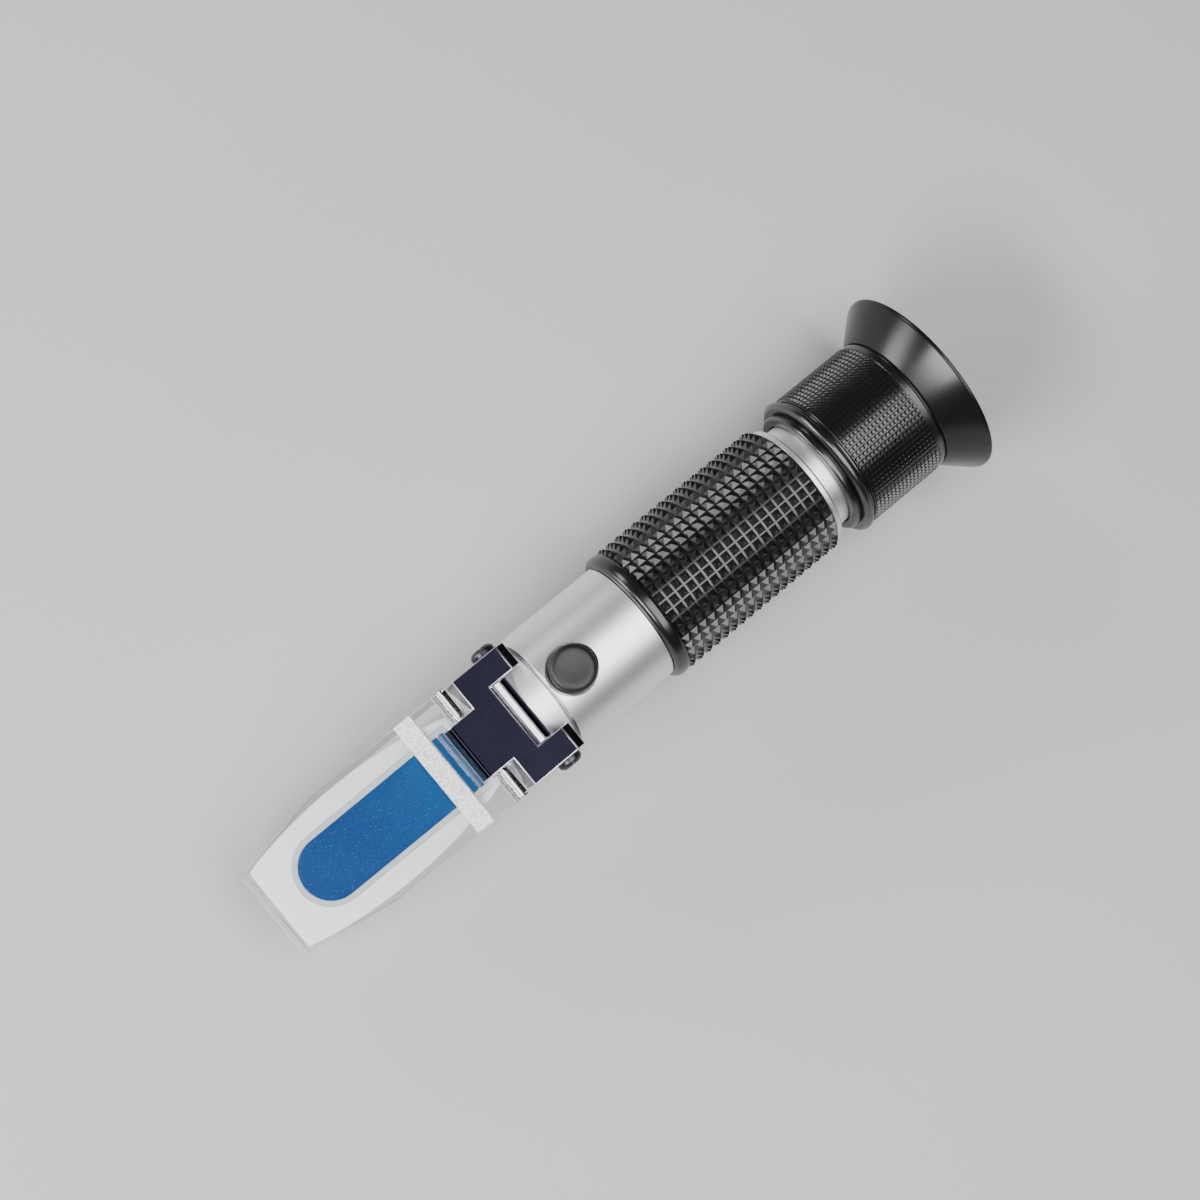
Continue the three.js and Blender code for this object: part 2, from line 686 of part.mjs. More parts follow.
// ---- eyepiece: barrel with its lenses, focus ring and eyecup ---------------------------------
function buildEyepiece() {
  const flangeRadius = ringBore + barrelFlangeRise;
  const guideHole = turnedUpright(disc(0, barrelRadius + 2, guidePinRadius + snug / 2), guidePinStation);
  const barrel = solid(turned([
    [barrelFront, barrelRadius],
    [flangeFace, barrelRadius],
    [flangeFace, flangeRadius],
    [barrelEnd, flangeRadius],
    [barrelEnd, barrelBore],
    [barrelFront + barrelLip, barrelBore],
    [barrelFront + barrelLip, barrelBore - 1.2],
    [barrelFront, barrelBore - 1.2],
  ]));
  addSolid("lens_barrel", barrel.subtract(solid(guideHole.rotateX(Math.PI))), blackAnodised);
  const pin = turnedUpright(disc(barrelBore + snug, neckRadius - 0.2, guidePinRadius), guidePinStation);
  addSolid("guide_pin", solid(pin.rotateX(Math.PI)), steel);

  const fieldFrom = barrelFront + barrelLip + faceGap;
  const fieldTo = fieldFrom + glassThickness;
  const spacerTo = fieldTo + faceGap + spacerLength;
  const eyeFrom = spacerTo + faceGap;
  const eyeTo = eyeFrom + glassThickness;
  addTurned("field_lens", lens(fieldFrom, fieldTo, glassRadius, 0, 1.2), clearGlass, smallSteps);
  const spacer = band(fieldTo + faceGap, spacerTo, glassRadius, barrelBore - 1.2);
  addTurned("lens_spacer", spacer, blackAnodised, innerSteps);
  addTurned("eye_lens", lens(eyeFrom, eyeTo, glassRadius, 1.2, 0), clearGlass, smallSteps);
  const retainer = band(eyeTo + faceGap, barrelEnd, glassRadius, barrelBore - 1.2);
  addTurned("lens_retainer", retainer, blackAnodised, innerSteps);
}

function buildFocusRing() {
  const knurl = ringBore + knurlRise;
  const flange = ringBore + flangeRise;
  const groove = knurl - grooveCut;
  const step = ringBore + ringWall;
  const counterbore = flangeFace - faceGap;
  addTurned("focus_ring", [
    [ringStart, step - 0.4],
    [ringStart + 0.4, step],
    [flangeStart, step],
    [flangeStart, flange - 0.6],
    [flangeStart + 0.5, flange],
    [flangeStart + flangeLength - 0.5, flange],
    [flangeStart + flangeLength, flange - 0.6],
    [flangeStart + flangeLength, groove],
    [knurlStart, groove],
    [knurlStart, knurl],
    [knurlEnd, knurl],
    [knurlEnd, ringLipRadius],
    [ringEnd, ringLipRadius],
    [ringEnd, ringRearBore],
    [counterbore, ringRearBore],
    [counterbore, ringBore],
    [ringStart, ringBore],
  ], blackPlastic);
  const retainerStart = barrelEnd + faceGap;
  const retainer = band(retainerStart, retainerStart + ringRetainerLength, ringRearBore - snug, barrelBore + 1);
  addTurned("ring_retainer", retainer, blackAnodised, innerSteps);
}

function buildEyecup() {
  const sleeveRadius = ringRearBore - snug;
  const mouth = sleeveRadius - eyecupSleeveWall;
  const from = ringEnd + faceGap / 2;
  const lipInner = rimRadius - eyecupRimWidth;
  addTurned("eyecup", [
    [ringEnd - eyecupSleeve, sleeveRadius],
    [from, sleeveRadius],
    [from, ringLipRadius - 0.3],
    [from + 0.6, ringLipRadius],
    [rimStation - 0.9, rimRadius - 0.25],
    [rimStation - 0.4, rimRadius],
    [rimStation, rimRadius],
    [rimStation, lipInner],
    [rimStation - 0.8, lipInner - 0.2],
    [from + 0.6, mouth + 0.6],
    [from - 0.6, mouth],
    [ringEnd - eyecupSleeve, mouth],
  ], blackRubber);
}

function buildORings() {
  addTurned("nose_o_ring", oRing(noseRingStation, noseRingCentre, oRingSection), blackRubber);
  addTurned("neck_o_ring", oRing(neckRingStation, neckRingCentre, oRingSection), blackRubber);
}

// ---- the whole instrument --------------------------------------------------------------------
buildHolder();
buildPrism();
buildHingeBlock();
buildSideScrews();
buildPlate();
buildPort();
buildObjective();
buildTube();
buildGrip();
buildReticle();
buildEyepiece();
buildFocusRing();
buildEyecup();
buildORings();

// Origin on the optical axis, midway between the plate's tip and the eyecup's rim
instrument.position.x = -(tipStation + rimStation) / 2;

export default instrument;
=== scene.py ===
# %% [markdown]
# # A hand-held refractometer
# A refractometer reads the sugar in a drop of must or wort. The drop goes on a slanted blue glass,
# a clear daylight plate closes over it, and the user looks through the eyepiece at a scale.
# Almost every piece was made on a lathe, so most shapes here are outlines spun round one axis.
# What repeats round the axis, the grip's pyramids and the focus ring's studs, comes from Geometry
# Nodes.
# The frame gives each piece's place. Lengths below are in millimetres times MM, because Blender
# works in metres.

# %% Frame
import math

import bmesh
import bpy
from mathutils import Matrix, Vector


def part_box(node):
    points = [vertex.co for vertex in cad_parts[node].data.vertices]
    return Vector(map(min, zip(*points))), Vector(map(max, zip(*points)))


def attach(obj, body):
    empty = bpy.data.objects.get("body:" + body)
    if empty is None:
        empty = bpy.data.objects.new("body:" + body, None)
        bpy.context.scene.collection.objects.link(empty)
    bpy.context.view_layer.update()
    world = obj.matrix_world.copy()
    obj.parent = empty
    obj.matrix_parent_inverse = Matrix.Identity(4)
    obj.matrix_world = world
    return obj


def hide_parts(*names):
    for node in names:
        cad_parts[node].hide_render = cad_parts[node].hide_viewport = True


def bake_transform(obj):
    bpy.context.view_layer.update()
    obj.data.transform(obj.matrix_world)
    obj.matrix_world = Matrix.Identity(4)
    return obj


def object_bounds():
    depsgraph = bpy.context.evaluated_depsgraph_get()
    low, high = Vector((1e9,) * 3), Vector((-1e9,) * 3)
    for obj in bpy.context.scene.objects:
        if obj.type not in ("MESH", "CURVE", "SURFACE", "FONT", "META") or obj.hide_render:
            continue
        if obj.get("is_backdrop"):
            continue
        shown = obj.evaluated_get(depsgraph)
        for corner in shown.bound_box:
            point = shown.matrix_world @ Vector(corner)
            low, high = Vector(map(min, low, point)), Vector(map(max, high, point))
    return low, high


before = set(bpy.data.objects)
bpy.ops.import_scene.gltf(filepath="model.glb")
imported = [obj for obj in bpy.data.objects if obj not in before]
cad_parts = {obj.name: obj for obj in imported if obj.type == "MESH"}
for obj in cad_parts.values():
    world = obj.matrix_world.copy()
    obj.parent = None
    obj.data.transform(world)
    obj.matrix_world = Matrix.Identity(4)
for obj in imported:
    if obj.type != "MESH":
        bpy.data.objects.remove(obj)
MM = 0.001
FULL_TURN = 2 * math.pi


def plain(bounds):
    return [[float(value) for value in corner] for corner in bounds]


cad_box = plain(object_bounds())
print("CAD box in mm:", [[round(v / MM, 1) for v in corner] for corner in cad_box])

# %% [markdown]
# ## Camera
# The view is from above the instrument, tipped a little towards its prism end, with the eyepiece at
# the upper right. A long lens from more than half a metre away keeps the tube's sides nearly
# parallel. The camera is placed by the point it hangs over, how far it is tipped, the point it
# looks at, and how far the instrument's axis turns in the picture.

# %% Camera
CAMERA_REACH = 580 * MM
CAMERA_TIP = math.radians(12.2)
AXIS_TURN = math.radians(39.28)
FOCAL_LENGTH = 88.74
over = Vector((-2.8 * MM, 0, 0))
aim = Vector((3.9 * MM, 7.0 * MM, 0))
eye = over + CAMERA_REACH * Vector((-math.sin(CAMERA_TIP), 0, math.cos(CAMERA_TIP)))

forward = (aim - eye).normalized()
along = Vector((1, 0, 0))
along = (along - along.dot(forward) * forward).normalized()
across = (-forward).cross(along)
right = math.cos(AXIS_TURN) * along - math.sin(AXIS_TURN) * across
up = math.sin(AXIS_TURN) * along + math.cos(AXIS_TURN) * across

lens = bpy.data.cameras.new("camera")
lens.sensor_width = 36
lens.lens = FOCAL_LENGTH
lens.clip_start = 0.01
camera = bpy.data.objects.new("camera", lens)
bpy.context.scene.collection.objects.link(camera)
turn = Matrix((right, up, -forward)).transposed().to_4x4()
camera.matrix_world = Matrix.Translation(eye) @ turn
bpy.context.scene.camera = camera
print("camera at", [round(v, 3) for v in eye], "lens", round(lens.lens, 1), "mm")

# %% [markdown]
# ## A small language for nodes
# Node trees are easier to read as sums than as wires. `Signal` wraps one output socket and adds a
# Math node for each Python operator used on it. `Graph.node` makes any other node: settings first,
# then the values or links of its inputs. Both serve materials and Geometry Nodes alike.


# %% Signals and graphs
class Signal:
    def __init__(self, graph, socket):
        self.graph = graph
        self.socket = socket

    def maths(self, operation, *values):
        inputs = dict(enumerate(values))
        return self.graph.node("ShaderNodeMath", {"operation": operation}, inputs)

    def __neg__(self):
        return self.maths("MULTIPLY", self, -1)

    def above(self, other):
        return self.maths("GREATER_THAN", self, other)

    def below(self, other):
        return self.maths("LESS_THAN", self, other)


for name, operation in {
    "add": "ADD",
    "sub": "SUBTRACT",
    "mul": "MULTIPLY",
    "truediv": "DIVIDE",
    "pow": "POWER",
}.items():
    setattr(Signal, f"__{name}__", lambda a, b, kind=operation: a.maths(kind, a, b))
    setattr(Signal, f"__r{name}__", lambda a, b, kind=operation: a.maths(kind, b, a))


class Graph:
    def __init__(self, tree):
        self.tree = tree

    def node(self, kind, settings=None, inputs=None, out=0):
        node = self.tree.nodes.new(kind)
        for name, value in (settings or {}).items():
            if name == "stops":
                self.set_stops(node.color_ramp, value)
            else:
                setattr(node, name, value)
        for name, value in (inputs or {}).items():
            if isinstance(value, Signal):
                self.tree.links.new(value.socket, node.inputs[name])
            else:
                node.inputs[name].default_value = value
        return Signal(self, node.outputs[out])

    def set_stops(self, ramp, stops):
        while len(ramp.elements) < len(stops):
            ramp.elements.new(0.5)
        for element, (place, shade) in zip(ramp.elements, stops):
            element.position = place
            element.color = (shade, shade, shade, 1) if isinstance(shade, (int, float)) else shade

    def vector(self, x, y, z):
        return self.node("ShaderNodeCombineXYZ", {}, {0: x, 1: y, 2: z})

    def split(self, vector):
        node = self.tree.nodes.new("ShaderNodeSeparateXYZ")
        self.tree.links.new(vector.socket, node.inputs[0])
        return [Signal(self, output) for output in node.outputs]


# %% [markdown]
# ## Materials
# `Finish` is a material under construction. It starts with the piece's own coordinates, already
# split into the station along the axis, the angle round it and the radius, because the marks that a
# lathe leaves follow exactly those. Whatever varies over the surface goes to colour, roughness or
# the bump; everything constant is set on the shader's own socket.


# %% Finish
class Finish(Graph):
    def __init__(self, name):
        self.material = bpy.data.materials.new(name)
        self.material.use_nodes = True
        super().__init__(self.material.node_tree)
        self.tree.nodes.clear()
        self.place = self.node("ShaderNodeTexCoord", out="Object")
        self.x, self.y, self.z = self.split(self.place)
        self.angle = self.y.maths("ARCTAN2", self.z, self.y)
        self.radius = (self.y * self.y + self.z * self.z) ** 0.5

    def noise(self, scale, detail=2.0, vector=None, rough=0.5):
        place = vector or self.place
        inputs = {"Scale": scale, "Detail": detail, "Roughness": rough, "Vector": place}
        return self.node("ShaderNodeTexNoise", {}, inputs, "Fac")

    def lathe_lines(self, per_metre):
        """Fine rings round the axis: quick change along it and across it, slow change round it."""
        vector = self.vector(self.x * per_metre, self.angle * 0.8, self.radius * per_metre)
        return self.noise(1.0, 3.0, vector)

    def ramp(self, signal, low, high, shade_low=0.0, shade_high=1.0):
        stops = [(low, shade_low), (high, shade_high)]
        return self.node("ShaderNodeValToRGB", {"stops": stops}, {"Fac": signal})

    def mix(self, factor, low, high):
        inputs = {0: factor, 6: low, 7: high}
        return self.node("ShaderNodeMix", {"data_type": "RGBA"}, inputs, 2)

    def bump(self, height, depth, strength=1.0):
        inputs = {"Height": height, "Distance": depth, "Strength": strength}
        return self.node("ShaderNodeBump", {}, inputs, "Normal")

    def shader(self, **sockets):
        """A Principled shader. Keys are its socket names with _ for a space."""
        inputs = {name.replace("_", " "): value for name, value in sockets.items()}
        return self.node("ShaderNodeBsdfPrincipled", {}, inputs, "BSDF")

    def finished(self, shader):
        output = self.tree.nodes.new("ShaderNodeOutputMaterial")
        self.tree.links.new(shader.socket, output.inputs["Surface"])
        return self.material

    def surface(self, **sockets):
        return self.finished(self.shader(**sockets))


def colour(red, green, blue):
    return (red, green, blue, 1.0)


# %% [markdown]
# ### Metals
# The tube is clear-anodised aluminium turned to a satin: pale, with faint rings and small changes
# of gloss. The prism holder is bead-blasted on its nose and face and smoother on the saddle, so one
# mask along the axis changes its gloss and how metallic it is. The hinge block is plated in black
# chrome, almost a mirror. The steel pin, the dark side screws and the hidden brass, bimetal and
# anodised pieces share one recipe of turned metal, and so does a bright metal painted on the
# block's rounded edges and ledge as painted highlights.


# %% Metals
def satin_aluminium():
    f = Finish("tube_aluminium")
    rings = f.lathe_lines(9000)
    cloud = f.noise(60, 3)
    tone = f.mix(cloud, colour(0.80, 0.81, 0.83), colour(0.87, 0.88, 0.90))
    rough = 0.36 + rings * 0.08 + cloud * 0.05
    return f.surface(
        Base_Color=tone,
        Metallic=1.0,
        Roughness=rough,
        Normal=f.bump(rings, 0.004 * MM, 0.4),
    )


def holder_metal(saddle_front):
    f = Finish("holder_metal")
    grain = f.noise(7000, 2)
    sparkle = f.ramp(f.noise(9000, 1), 0.62, 0.70)
    cloud = f.noise(90, 3)
    polished = f.x.above(saddle_front)
    blasted = 1 - polished
    tone = f.mix(cloud, colour(0.86, 0.86, 0.89), colour(0.93, 0.93, 0.95))
    rough = blasted * (0.42 + cloud * 0.06 - sparkle * 0.18) + polished * (0.36 + cloud * 0.05)
    return f.surface(
        Base_Color=tone,
        Metallic=blasted * 0.85 + polished * 0.55,
        Roughness=rough,
        Normal=f.bump(grain * blasted, 0.03 * MM, 0.55),
    )


def black_chrome():
    f = Finish("black_chrome")
    cloud = f.noise(160, 4)
    specks = f.ramp(f.noise(2600, 2), 0.70, 0.76)
    wipe = f.noise(1.0, 2, f.vector(f.x * 300, f.y * 2600, f.z * 300))
    tone = f.mix(cloud, colour(0.0040, 0.0038, 0.0070), colour(0.0080, 0.0072, 0.0140))
    tone = f.mix(specks * 0.4, tone, colour(0.05, 0.05, 0.07))
    rough = 0.16 + cloud * 0.06 + specks * 0.25 + wipe * 0.05
    return f.surface(
        Base_Color=tone,
        Metallic=1.0,
        Roughness=rough,
        Normal=f.bump(specks + wipe * 0.3, 0.01 * MM, 0.25),
    )


def turned_metal(name, dark, light, gloss, lines=7000):
    f = Finish(name)
    rings = f.lathe_lines(lines)
    cloud = f.noise(200, 3)
    rough = gloss + rings * 0.10 + cloud * 0.06
    return f.surface(
        Base_Color=f.mix(cloud, dark, light),
        Metallic=1.0,
        Roughness=rough,
        Normal=f.bump(rings, 0.006 * MM, 0.5),
    )


aluminium = satin_aluminium()
chrome_black = black_chrome()
grey, pale_grey = colour(0.50, 0.50, 0.52), colour(0.66, 0.66, 0.68)
steel = turned_metal("turned_steel", grey, pale_grey, 0.16)
yellow, pale_yellow = colour(0.55, 0.36, 0.13), colour(0.70, 0.48, 0.20)
brass = turned_metal("turned_brass", yellow, pale_yellow, 0.20)
tan, pale_tan = colour(0.42, 0.36, 0.27), colour(0.58, 0.48, 0.33)
bimetal = turned_metal("bimetal_strip", tan, pale_tan, 0.30, lines=1500)
black, worn_black = colour(0.010, 0.010, 0.011), colour(0.022, 0.022, 0.024)
anodised = turned_metal("anodised_black", black, worn_black, 0.42)
# A bright metal painted on the hinge block's rounded edges and ledge: painted highlights on the
# black chrome.
silver, pale_silver = colour(0.72, 0.72, 0.76), colour(0.86, 0.86, 0.90)
highlight_edge_chrome = turned_metal("highlight_edge_chrome", silver, pale_silver, 0.22, lines=900)
# A dark metal for the hinge block's side screws.
slate, pale_slate = colour(0.05, 0.05, 0.055), colour(0.09, 0.09, 0.10)
dark_screw_metal = turned_metal("dark_screw_steel", slate, pale_slate, 0.30)
metals = (aluminium, steel, brass, bimetal, anodised, chrome_black, highlight_edge_chrome, dark_screw_metal)
print("metals:", [metal.name for metal in metals])

# %% [markdown]
# ### Rubber and plastic
# The grip is moulded in a hard glossy rubber and the eyecup in a softer one. Both are black, so the
# eye reads them by their highlights: a fine orange-peel bump breaks the highlight's edge, and
# specks of dust are a little paler and rougher. The focus ring is a moulded plastic with a sharper
# gloss.


# %% Rubber and plastic
def rubber(name, gloss, peel, dust, shine):
    f = Finish(name)
    skin = f.noise(2400, 3)
    cloud = f.noise(110, 4)
    specks = f.ramp(f.noise(5200, 2), 0.71, 0.77)
    tone = f.mix(cloud, colour(0.003, 0.003, 0.003), colour(0.006, 0.006, 0.006))
    tone = f.mix(specks * dust, tone, colour(0.10, 0.10, 0.10))
    rough = gloss + cloud * 0.12 + specks * dust * 0.3
    return f.surface(
        Base_Color=tone,
        Roughness=rough,
        Specular_IOR_Level=shine,
        Normal=f.bump(skin, peel * MM, 0.5),
    )


grip_rubber = rubber("grip_rubber", gloss=0.20, peel=0.012, dust=0.3, shine=0.7)
cup_rubber = rubber("cup_rubber", gloss=0.20, peel=0.010, dust=0.2, shine=0.35)
cap_rubber = rubber("cap_rubber", gloss=0.40, peel=0.02, dust=0.5, shine=0.5)
ring_plastic = rubber("ring_plastic", gloss=0.19, peel=0.006, dust=0.2, shine=1.0)

# %% [markdown]
# ### Glass and acrylic
# The prism's glass looks blue because the field behind it is blue, so it is a polished deep blue,
# brighter towards the hinge where light comes in, with fine pale specks. The daylight plate is
# clear acrylic with real refraction, and a frosted band across it, close to the hinge, diffuses
# the light. Its mask is a stretch measured along the plate from the hinge pin.


# %% Glass and acrylic
def blue_glass(tip, hinge):
    f = Finish("blue_glass")
    cloud = f.noise(55, 4)
    grains = f.ramp(f.noise(3600, 1), 0.65, 0.75)
    length = f.node("ShaderNodeMapRange", {}, {0: f.x, 1: tip, 2: hinge})
    deep = f.mix(cloud, colour(0.012, 0.055, 0.215), colour(0.022, 0.092, 0.30))
    tone = f.mix(length ** 3 * 0.45, deep, colour(0.006, 0.17, 0.44))
    tone = f.mix(grains * 0.36, tone, colour(0.26, 0.40, 0.60))
    return f.surface(Base_Color=tone, Roughness=0.03 + cloud * 0.03 + grains * 0.2)


def optical_glass():
    f = Finish("optical_glass")
    cloud = f.noise(120, 2)
    tone = f.mix(cloud, colour(0.92, 0.97, 0.95), colour(0.97, 0.99, 1.0))
    return f.surface(
        Base_Color=tone,
        Roughness=0.01 + cloud * 0.02,
        Transmission_Weight=1.0,
        IOR=1.52,
    )


def clear_acrylic(pin, slope, band_start, band_end):
    f = Finish("clear_acrylic")
    length = (pin.x - f.x) * math.cos(slope) + (pin.z - f.z) * math.sin(slope)
    grain = f.noise(2600, 2)
    frosted = length.above(band_start) * length.below(band_end)
    haze = f.noise(70, 2)
    clear = f.shader(
        Base_Color=f.mix(haze, colour(0.98, 0.99, 0.99), colour(0.96, 0.97, 0.98)),
        Roughness=0.008 + haze * 0.012,
        Transmission_Weight=1.0,
        IOR=1.49,
    )
    frost = f.shader(
        Base_Color=f.mix(grain, colour(0.78, 0.79, 0.83), colour(0.95, 0.95, 0.97)),
        Roughness=0.35 + grain * 0.3,
        Normal=f.bump(grain, 0.05 * MM, 0.8),
    )
    cover = frosted * f.ramp(grain, 0.36, 0.58, 0.40, 0.90)
    return f.finished(f.node("ShaderNodeMixShader", {}, {0: cover, 1: clear, 2: frost}))


def sealant():
    f = Finish("sealant")
    cloud = f.noise(300, 3)
    tone = f.mix(cloud, colour(0.66, 0.72, 0.74), colour(0.76, 0.82, 0.83))
    return f.surface(
        Base_Color=tone,
        Roughness=0.35 + cloud * 0.15,
        Normal=f.bump(cloud, 0.02 * MM, 0.4),
    )


optics = optical_glass()
seal_paste = sealant()

# %% [markdown]
# ## Bench tools
# `spun` makes a lathe piece: a closed outline of (station, radius) points goes round the axis, and
# its corners are softened first, because no turned edge is truly sharp and the small round catches
# the light. `shaped` runs modifiers and keeps the result. `extruded` raises a flat outline.


# %% Outlines
BLUNT_CORNER = math.radians(165)
LONG_EDGE = 6
GUARD = 1.4


def softened(outline, radius, arcs=3):
    """Rounds each corner off the axis with a short curve, never past the middle of an edge.

    A point just outside each end of the curve keeps the long stretches beside it evenly shaded.
    """
    points = [Vector(p) for p in outline]
    result = []
    for i, corner in enumerate(points):
        before = points[i - 1] - corner
        after = points[(i + 1) % len(points)] - corner
        cut = min(radius, 0.45 * before.length, 0.45 * after.length)
        if corner.y <= 0 or cut <= 0 or before.angle(after) > BLUNT_CORNER:
            result.append(corner)
            continue
        back, on = before.normalized() * cut, after.normalized() * cut
        start, end = corner + back, corner + on
        if before.length > LONG_EDGE * cut:
            result.append(corner + back * GUARD)
        for step in range(arcs + 1):
            t = step / arcs
            result.append((1 - t) ** 2 * start + 2 * t * (1 - t) * corner + t**2 * end)
        if after.length > LONG_EDGE * cut:
            result.append(corner + on * GUARD)
    return result


def keep(name, mesh, material):
    mesh.materials.clear()
    mesh.materials.append(material)
    obj = bpy.data.objects.new(name, mesh)
    bpy.context.scene.collection.objects.link(obj)
    return obj


def finish_mesh(bm, name, crease=35):
    bmesh.ops.remove_doubles(bm, verts=bm.verts, dist=1e-7)
    bmesh.ops.recalc_face_normals(bm, faces=bm.faces)
    for face in bm.faces:
        face.smooth = True
    for edge in bm.edges:
        if len(edge.link_faces) == 2 and edge.calc_face_angle() > math.radians(crease):
            edge.smooth = False
    mesh = bpy.data.meshes.new(name)
    bm.to_mesh(mesh)
    bm.free()
    return mesh


# %% Lathe
def spun_bm(outline, steps):
    bm = bmesh.new()
    rings = []
    for station, radius in outline:
        if radius < 1e-9:
            rings.append([bm.verts.new((station, 0, 0))] * steps)
            continue
        ring = []
        for i in range(steps):
            angle = FULL_TURN * i / steps
            ring.append(bm.verts.new((station, radius * math.sin(angle), radius * math.cos(angle))))
        rings.append(ring)
    for k, ring in enumerate(rings):
        other = rings[(k + 1) % len(rings)]
        for i in range(steps):
            j = (i + 1) % steps
            corners = dict.fromkeys((ring[i], ring[j], other[j], other[i]))
            if len(corners) > 2:
                bm.faces.new(corners)
    return bm


def spun(name, outline, material, steps=160, soften=0.15 * MM):
    bm = spun_bm(softened(outline, soften), steps)
    return keep(name, finish_mesh(bm, name), material)


def moved(obj, matrix):
    obj.data.transform(matrix)
    if matrix.determinant() < 0:
        obj.data.flip_normals()
    obj.data.update()
    return obj


# %% Extrusions and cuts
def extruded(name, outline, low, high, material=None):
    """Raises a flat outline of (x, y) points from one height to another."""
    bm = bmesh.new()
    floor = [bm.verts.new((x, y, low)) for x, y in outline]
    roof = [bm.verts.new((x, y, high)) for x, y in outline]
    bm.faces.new(floor)
    bm.faces.new(roof)
    for i in range(len(outline)):
        j = (i + 1) % len(outline)
        bm.faces.new((floor[i], floor[j], roof[j], roof[i]))
    return keep(name, finish_mesh(bm, name), material)


def shaped(obj, crease=35):
    """Applies every modifier on the object, so that only plain mesh is left."""
    tree = bpy.context.evaluated_depsgraph_get()
    mesh = bpy.data.meshes.new_from_object(obj.evaluated_get(tree))
    obj.modifiers.clear()
    bm = bmesh.new()
    bm.from_mesh(mesh)
    materials = [m for m in mesh.materials if m]
    result = finish_mesh(bm, obj.name, crease)
    for material in materials:
        result.materials.append(material)
    obj.data = result
    return obj


def combined(obj, tool, operation="DIFFERENCE"):
    modifier = obj.modifiers.new("cut", "BOOLEAN")
    modifier.operation = operation
    modifier.solver = "EXACT"
    modifier.object = tool
    shaped(obj)
    bpy.data.objects.remove(tool)
    return obj


def bevelled(obj, width, segments=2, angle=30, edge_material=None):
    """Rounds the sharp edges. With a second material, only the rounds take it."""
    modifier = obj.modifiers.new("edge", "BEVEL")
    if edge_material:
        obj.data.materials.append(edge_material)
        modifier.material = 1
    modifier.width = width
    modifier.segments = segments
    modifier.limit_method = "ANGLE"
    modifier.angle_limit = math.radians(angle)
    return shaped(obj)


def placed(obj, body, slot, *nodes):
    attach(obj, body)
    if nodes:
        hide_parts(*nodes)
    bm = bmesh.new()
    bm.from_mesh(obj.data)
    loose = sum(len(edge.link_faces) != 2 for edge in bm.edges)
    bm.free()
    print(obj.name, len(obj.data.polygons), "faces on", body, "- open edges:", loose)


# %% [markdown]
# ## Stations
# Each place along the axis is read from the frame once and given the name a maker would use.


# %% Stations
def ends(node):
    low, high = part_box(node)
    return low[0], high[0]


def crown(node):
    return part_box(node)[1][2]


tube_front, neck_end = ends("main_tube")
grip_front, grip_rear = ends("rubber_grip")
collar_front, collar_rear = ends("rear_collar")
ring_front, ring_rear = ends("focus_ring")
cup_sleeve, cup_rim = ends("eyecup")
nose_front, plug_rear = ends("prism_holder")
barrel_front, barrel_rear = ends("lens_barrel")
block_front, block_rear = ends("hinge_block")
tube_radius = crown("main_tube")
grip_radius = crown("rubber_grip")
rim_radius = crown("eyecup")
pin_low, pin_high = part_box("hinge_pin")
pin = (Vector(pin_low) + Vector(pin_high)) / 2
pin_radius = (pin_high[2] - pin_low[2]) / 2
cap_low, cap_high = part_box("calibration_cap")
port = (cap_low[0] + cap_high[0]) / 2
print("tube from", round(tube_front / MM, 2), "to", round(neck_end / MM, 2), "pin at", pin / MM)

# %% [markdown]
# ## Main tube and rear collar
# One aluminium tube runs through the instrument, and only its front stretch and a ring of its neck
# show. The front edge is chamfered. A round port is bored in the top for the calibration screw, by
# a cutter that flares out at the tube's skin. A slim collar closes the grip's rear.

# %% Tube
TUBE_BORE = 11.1 * MM
SEAT_STEP = 1.0 * MM
NECK_RADIUS = 11.7 * MM
REAR_BORE = 10.2 * MM
PORT_RADIUS = 5.2 * MM
seat = tube_radius - SEAT_STEP
grip_seat_front = grip_front - 0.1 * MM
grip_seat_rear = collar_front - 0.1 * MM
tube = spun("tube_shell", [
    (tube_front, tube_radius - 0.35 * MM),
    (tube_front + 0.35 * MM, tube_radius),
    (grip_seat_front, tube_radius),
    (grip_seat_front, seat),
    (grip_seat_rear, seat),
    (grip_seat_rear, NECK_RADIUS),
    (neck_end, NECK_RADIUS),
    (neck_end, REAR_BORE),
    (plug_rear + 0.1 * MM, REAR_BORE),
    (plug_rear + 0.1 * MM, TUBE_BORE),
    (tube_front, TUBE_BORE),
], aluminium, soften=0.12 * MM)

port_mouth = PORT_RADIUS + 0.5 * MM
port_outline = [
    (0, 0),
    (0, PORT_RADIUS),
    (tube_radius - 0.5 * MM, PORT_RADIUS),
    (tube_radius + 0.3 * MM, port_mouth),
    (tube_radius + 2 * MM, port_mouth),
    (tube_radius + 2 * MM, 0),
]


def upright(obj, station):
    """Stands a lathe piece up, so that its axis rises through a station of the tube."""
    return moved(obj, Matrix.Translation((station, 0, 0)) @ Matrix.Rotation(-math.pi / 2, 4, "Y"))


cutter = upright(spun("port_cutter", port_outline, aluminium, steps=96, soften=0), port)
placed(combined(tube, cutter), "barrel", "satin_aluminium", "main_tube")

collar = crown("rear_collar")
placed(spun("collar_ring", [
    (collar_front, collar),
    (collar_rear - 0.35 * MM, collar),
    (collar_rear, collar - 0.35 * MM),
    (collar_rear, NECK_RADIUS + 0.1 * MM),
    (collar_front, NECK_RADIUS + 0.1 * MM),
], aluminium), "barrel", "satin_aluminium", "rear_collar")

# %% [markdown]
# ## Prism holder
# The nose is a round bar with a long slanted flat milled from the hinge down to its tip. It is
# spun, then the space above the flat is cut away, and a pocket with one round end is sunk into the
# flat for the prism. Inside, a wide bore in the plug steps down to a narrow one that lets the light
# out of the prism, and a hole from above takes the calibration bushing. The flat has its own frame:
# origin at the hinge pin, X down the slope towards the tip, Z square to the flat. Everything that
# lies on the slope is drawn in that frame.

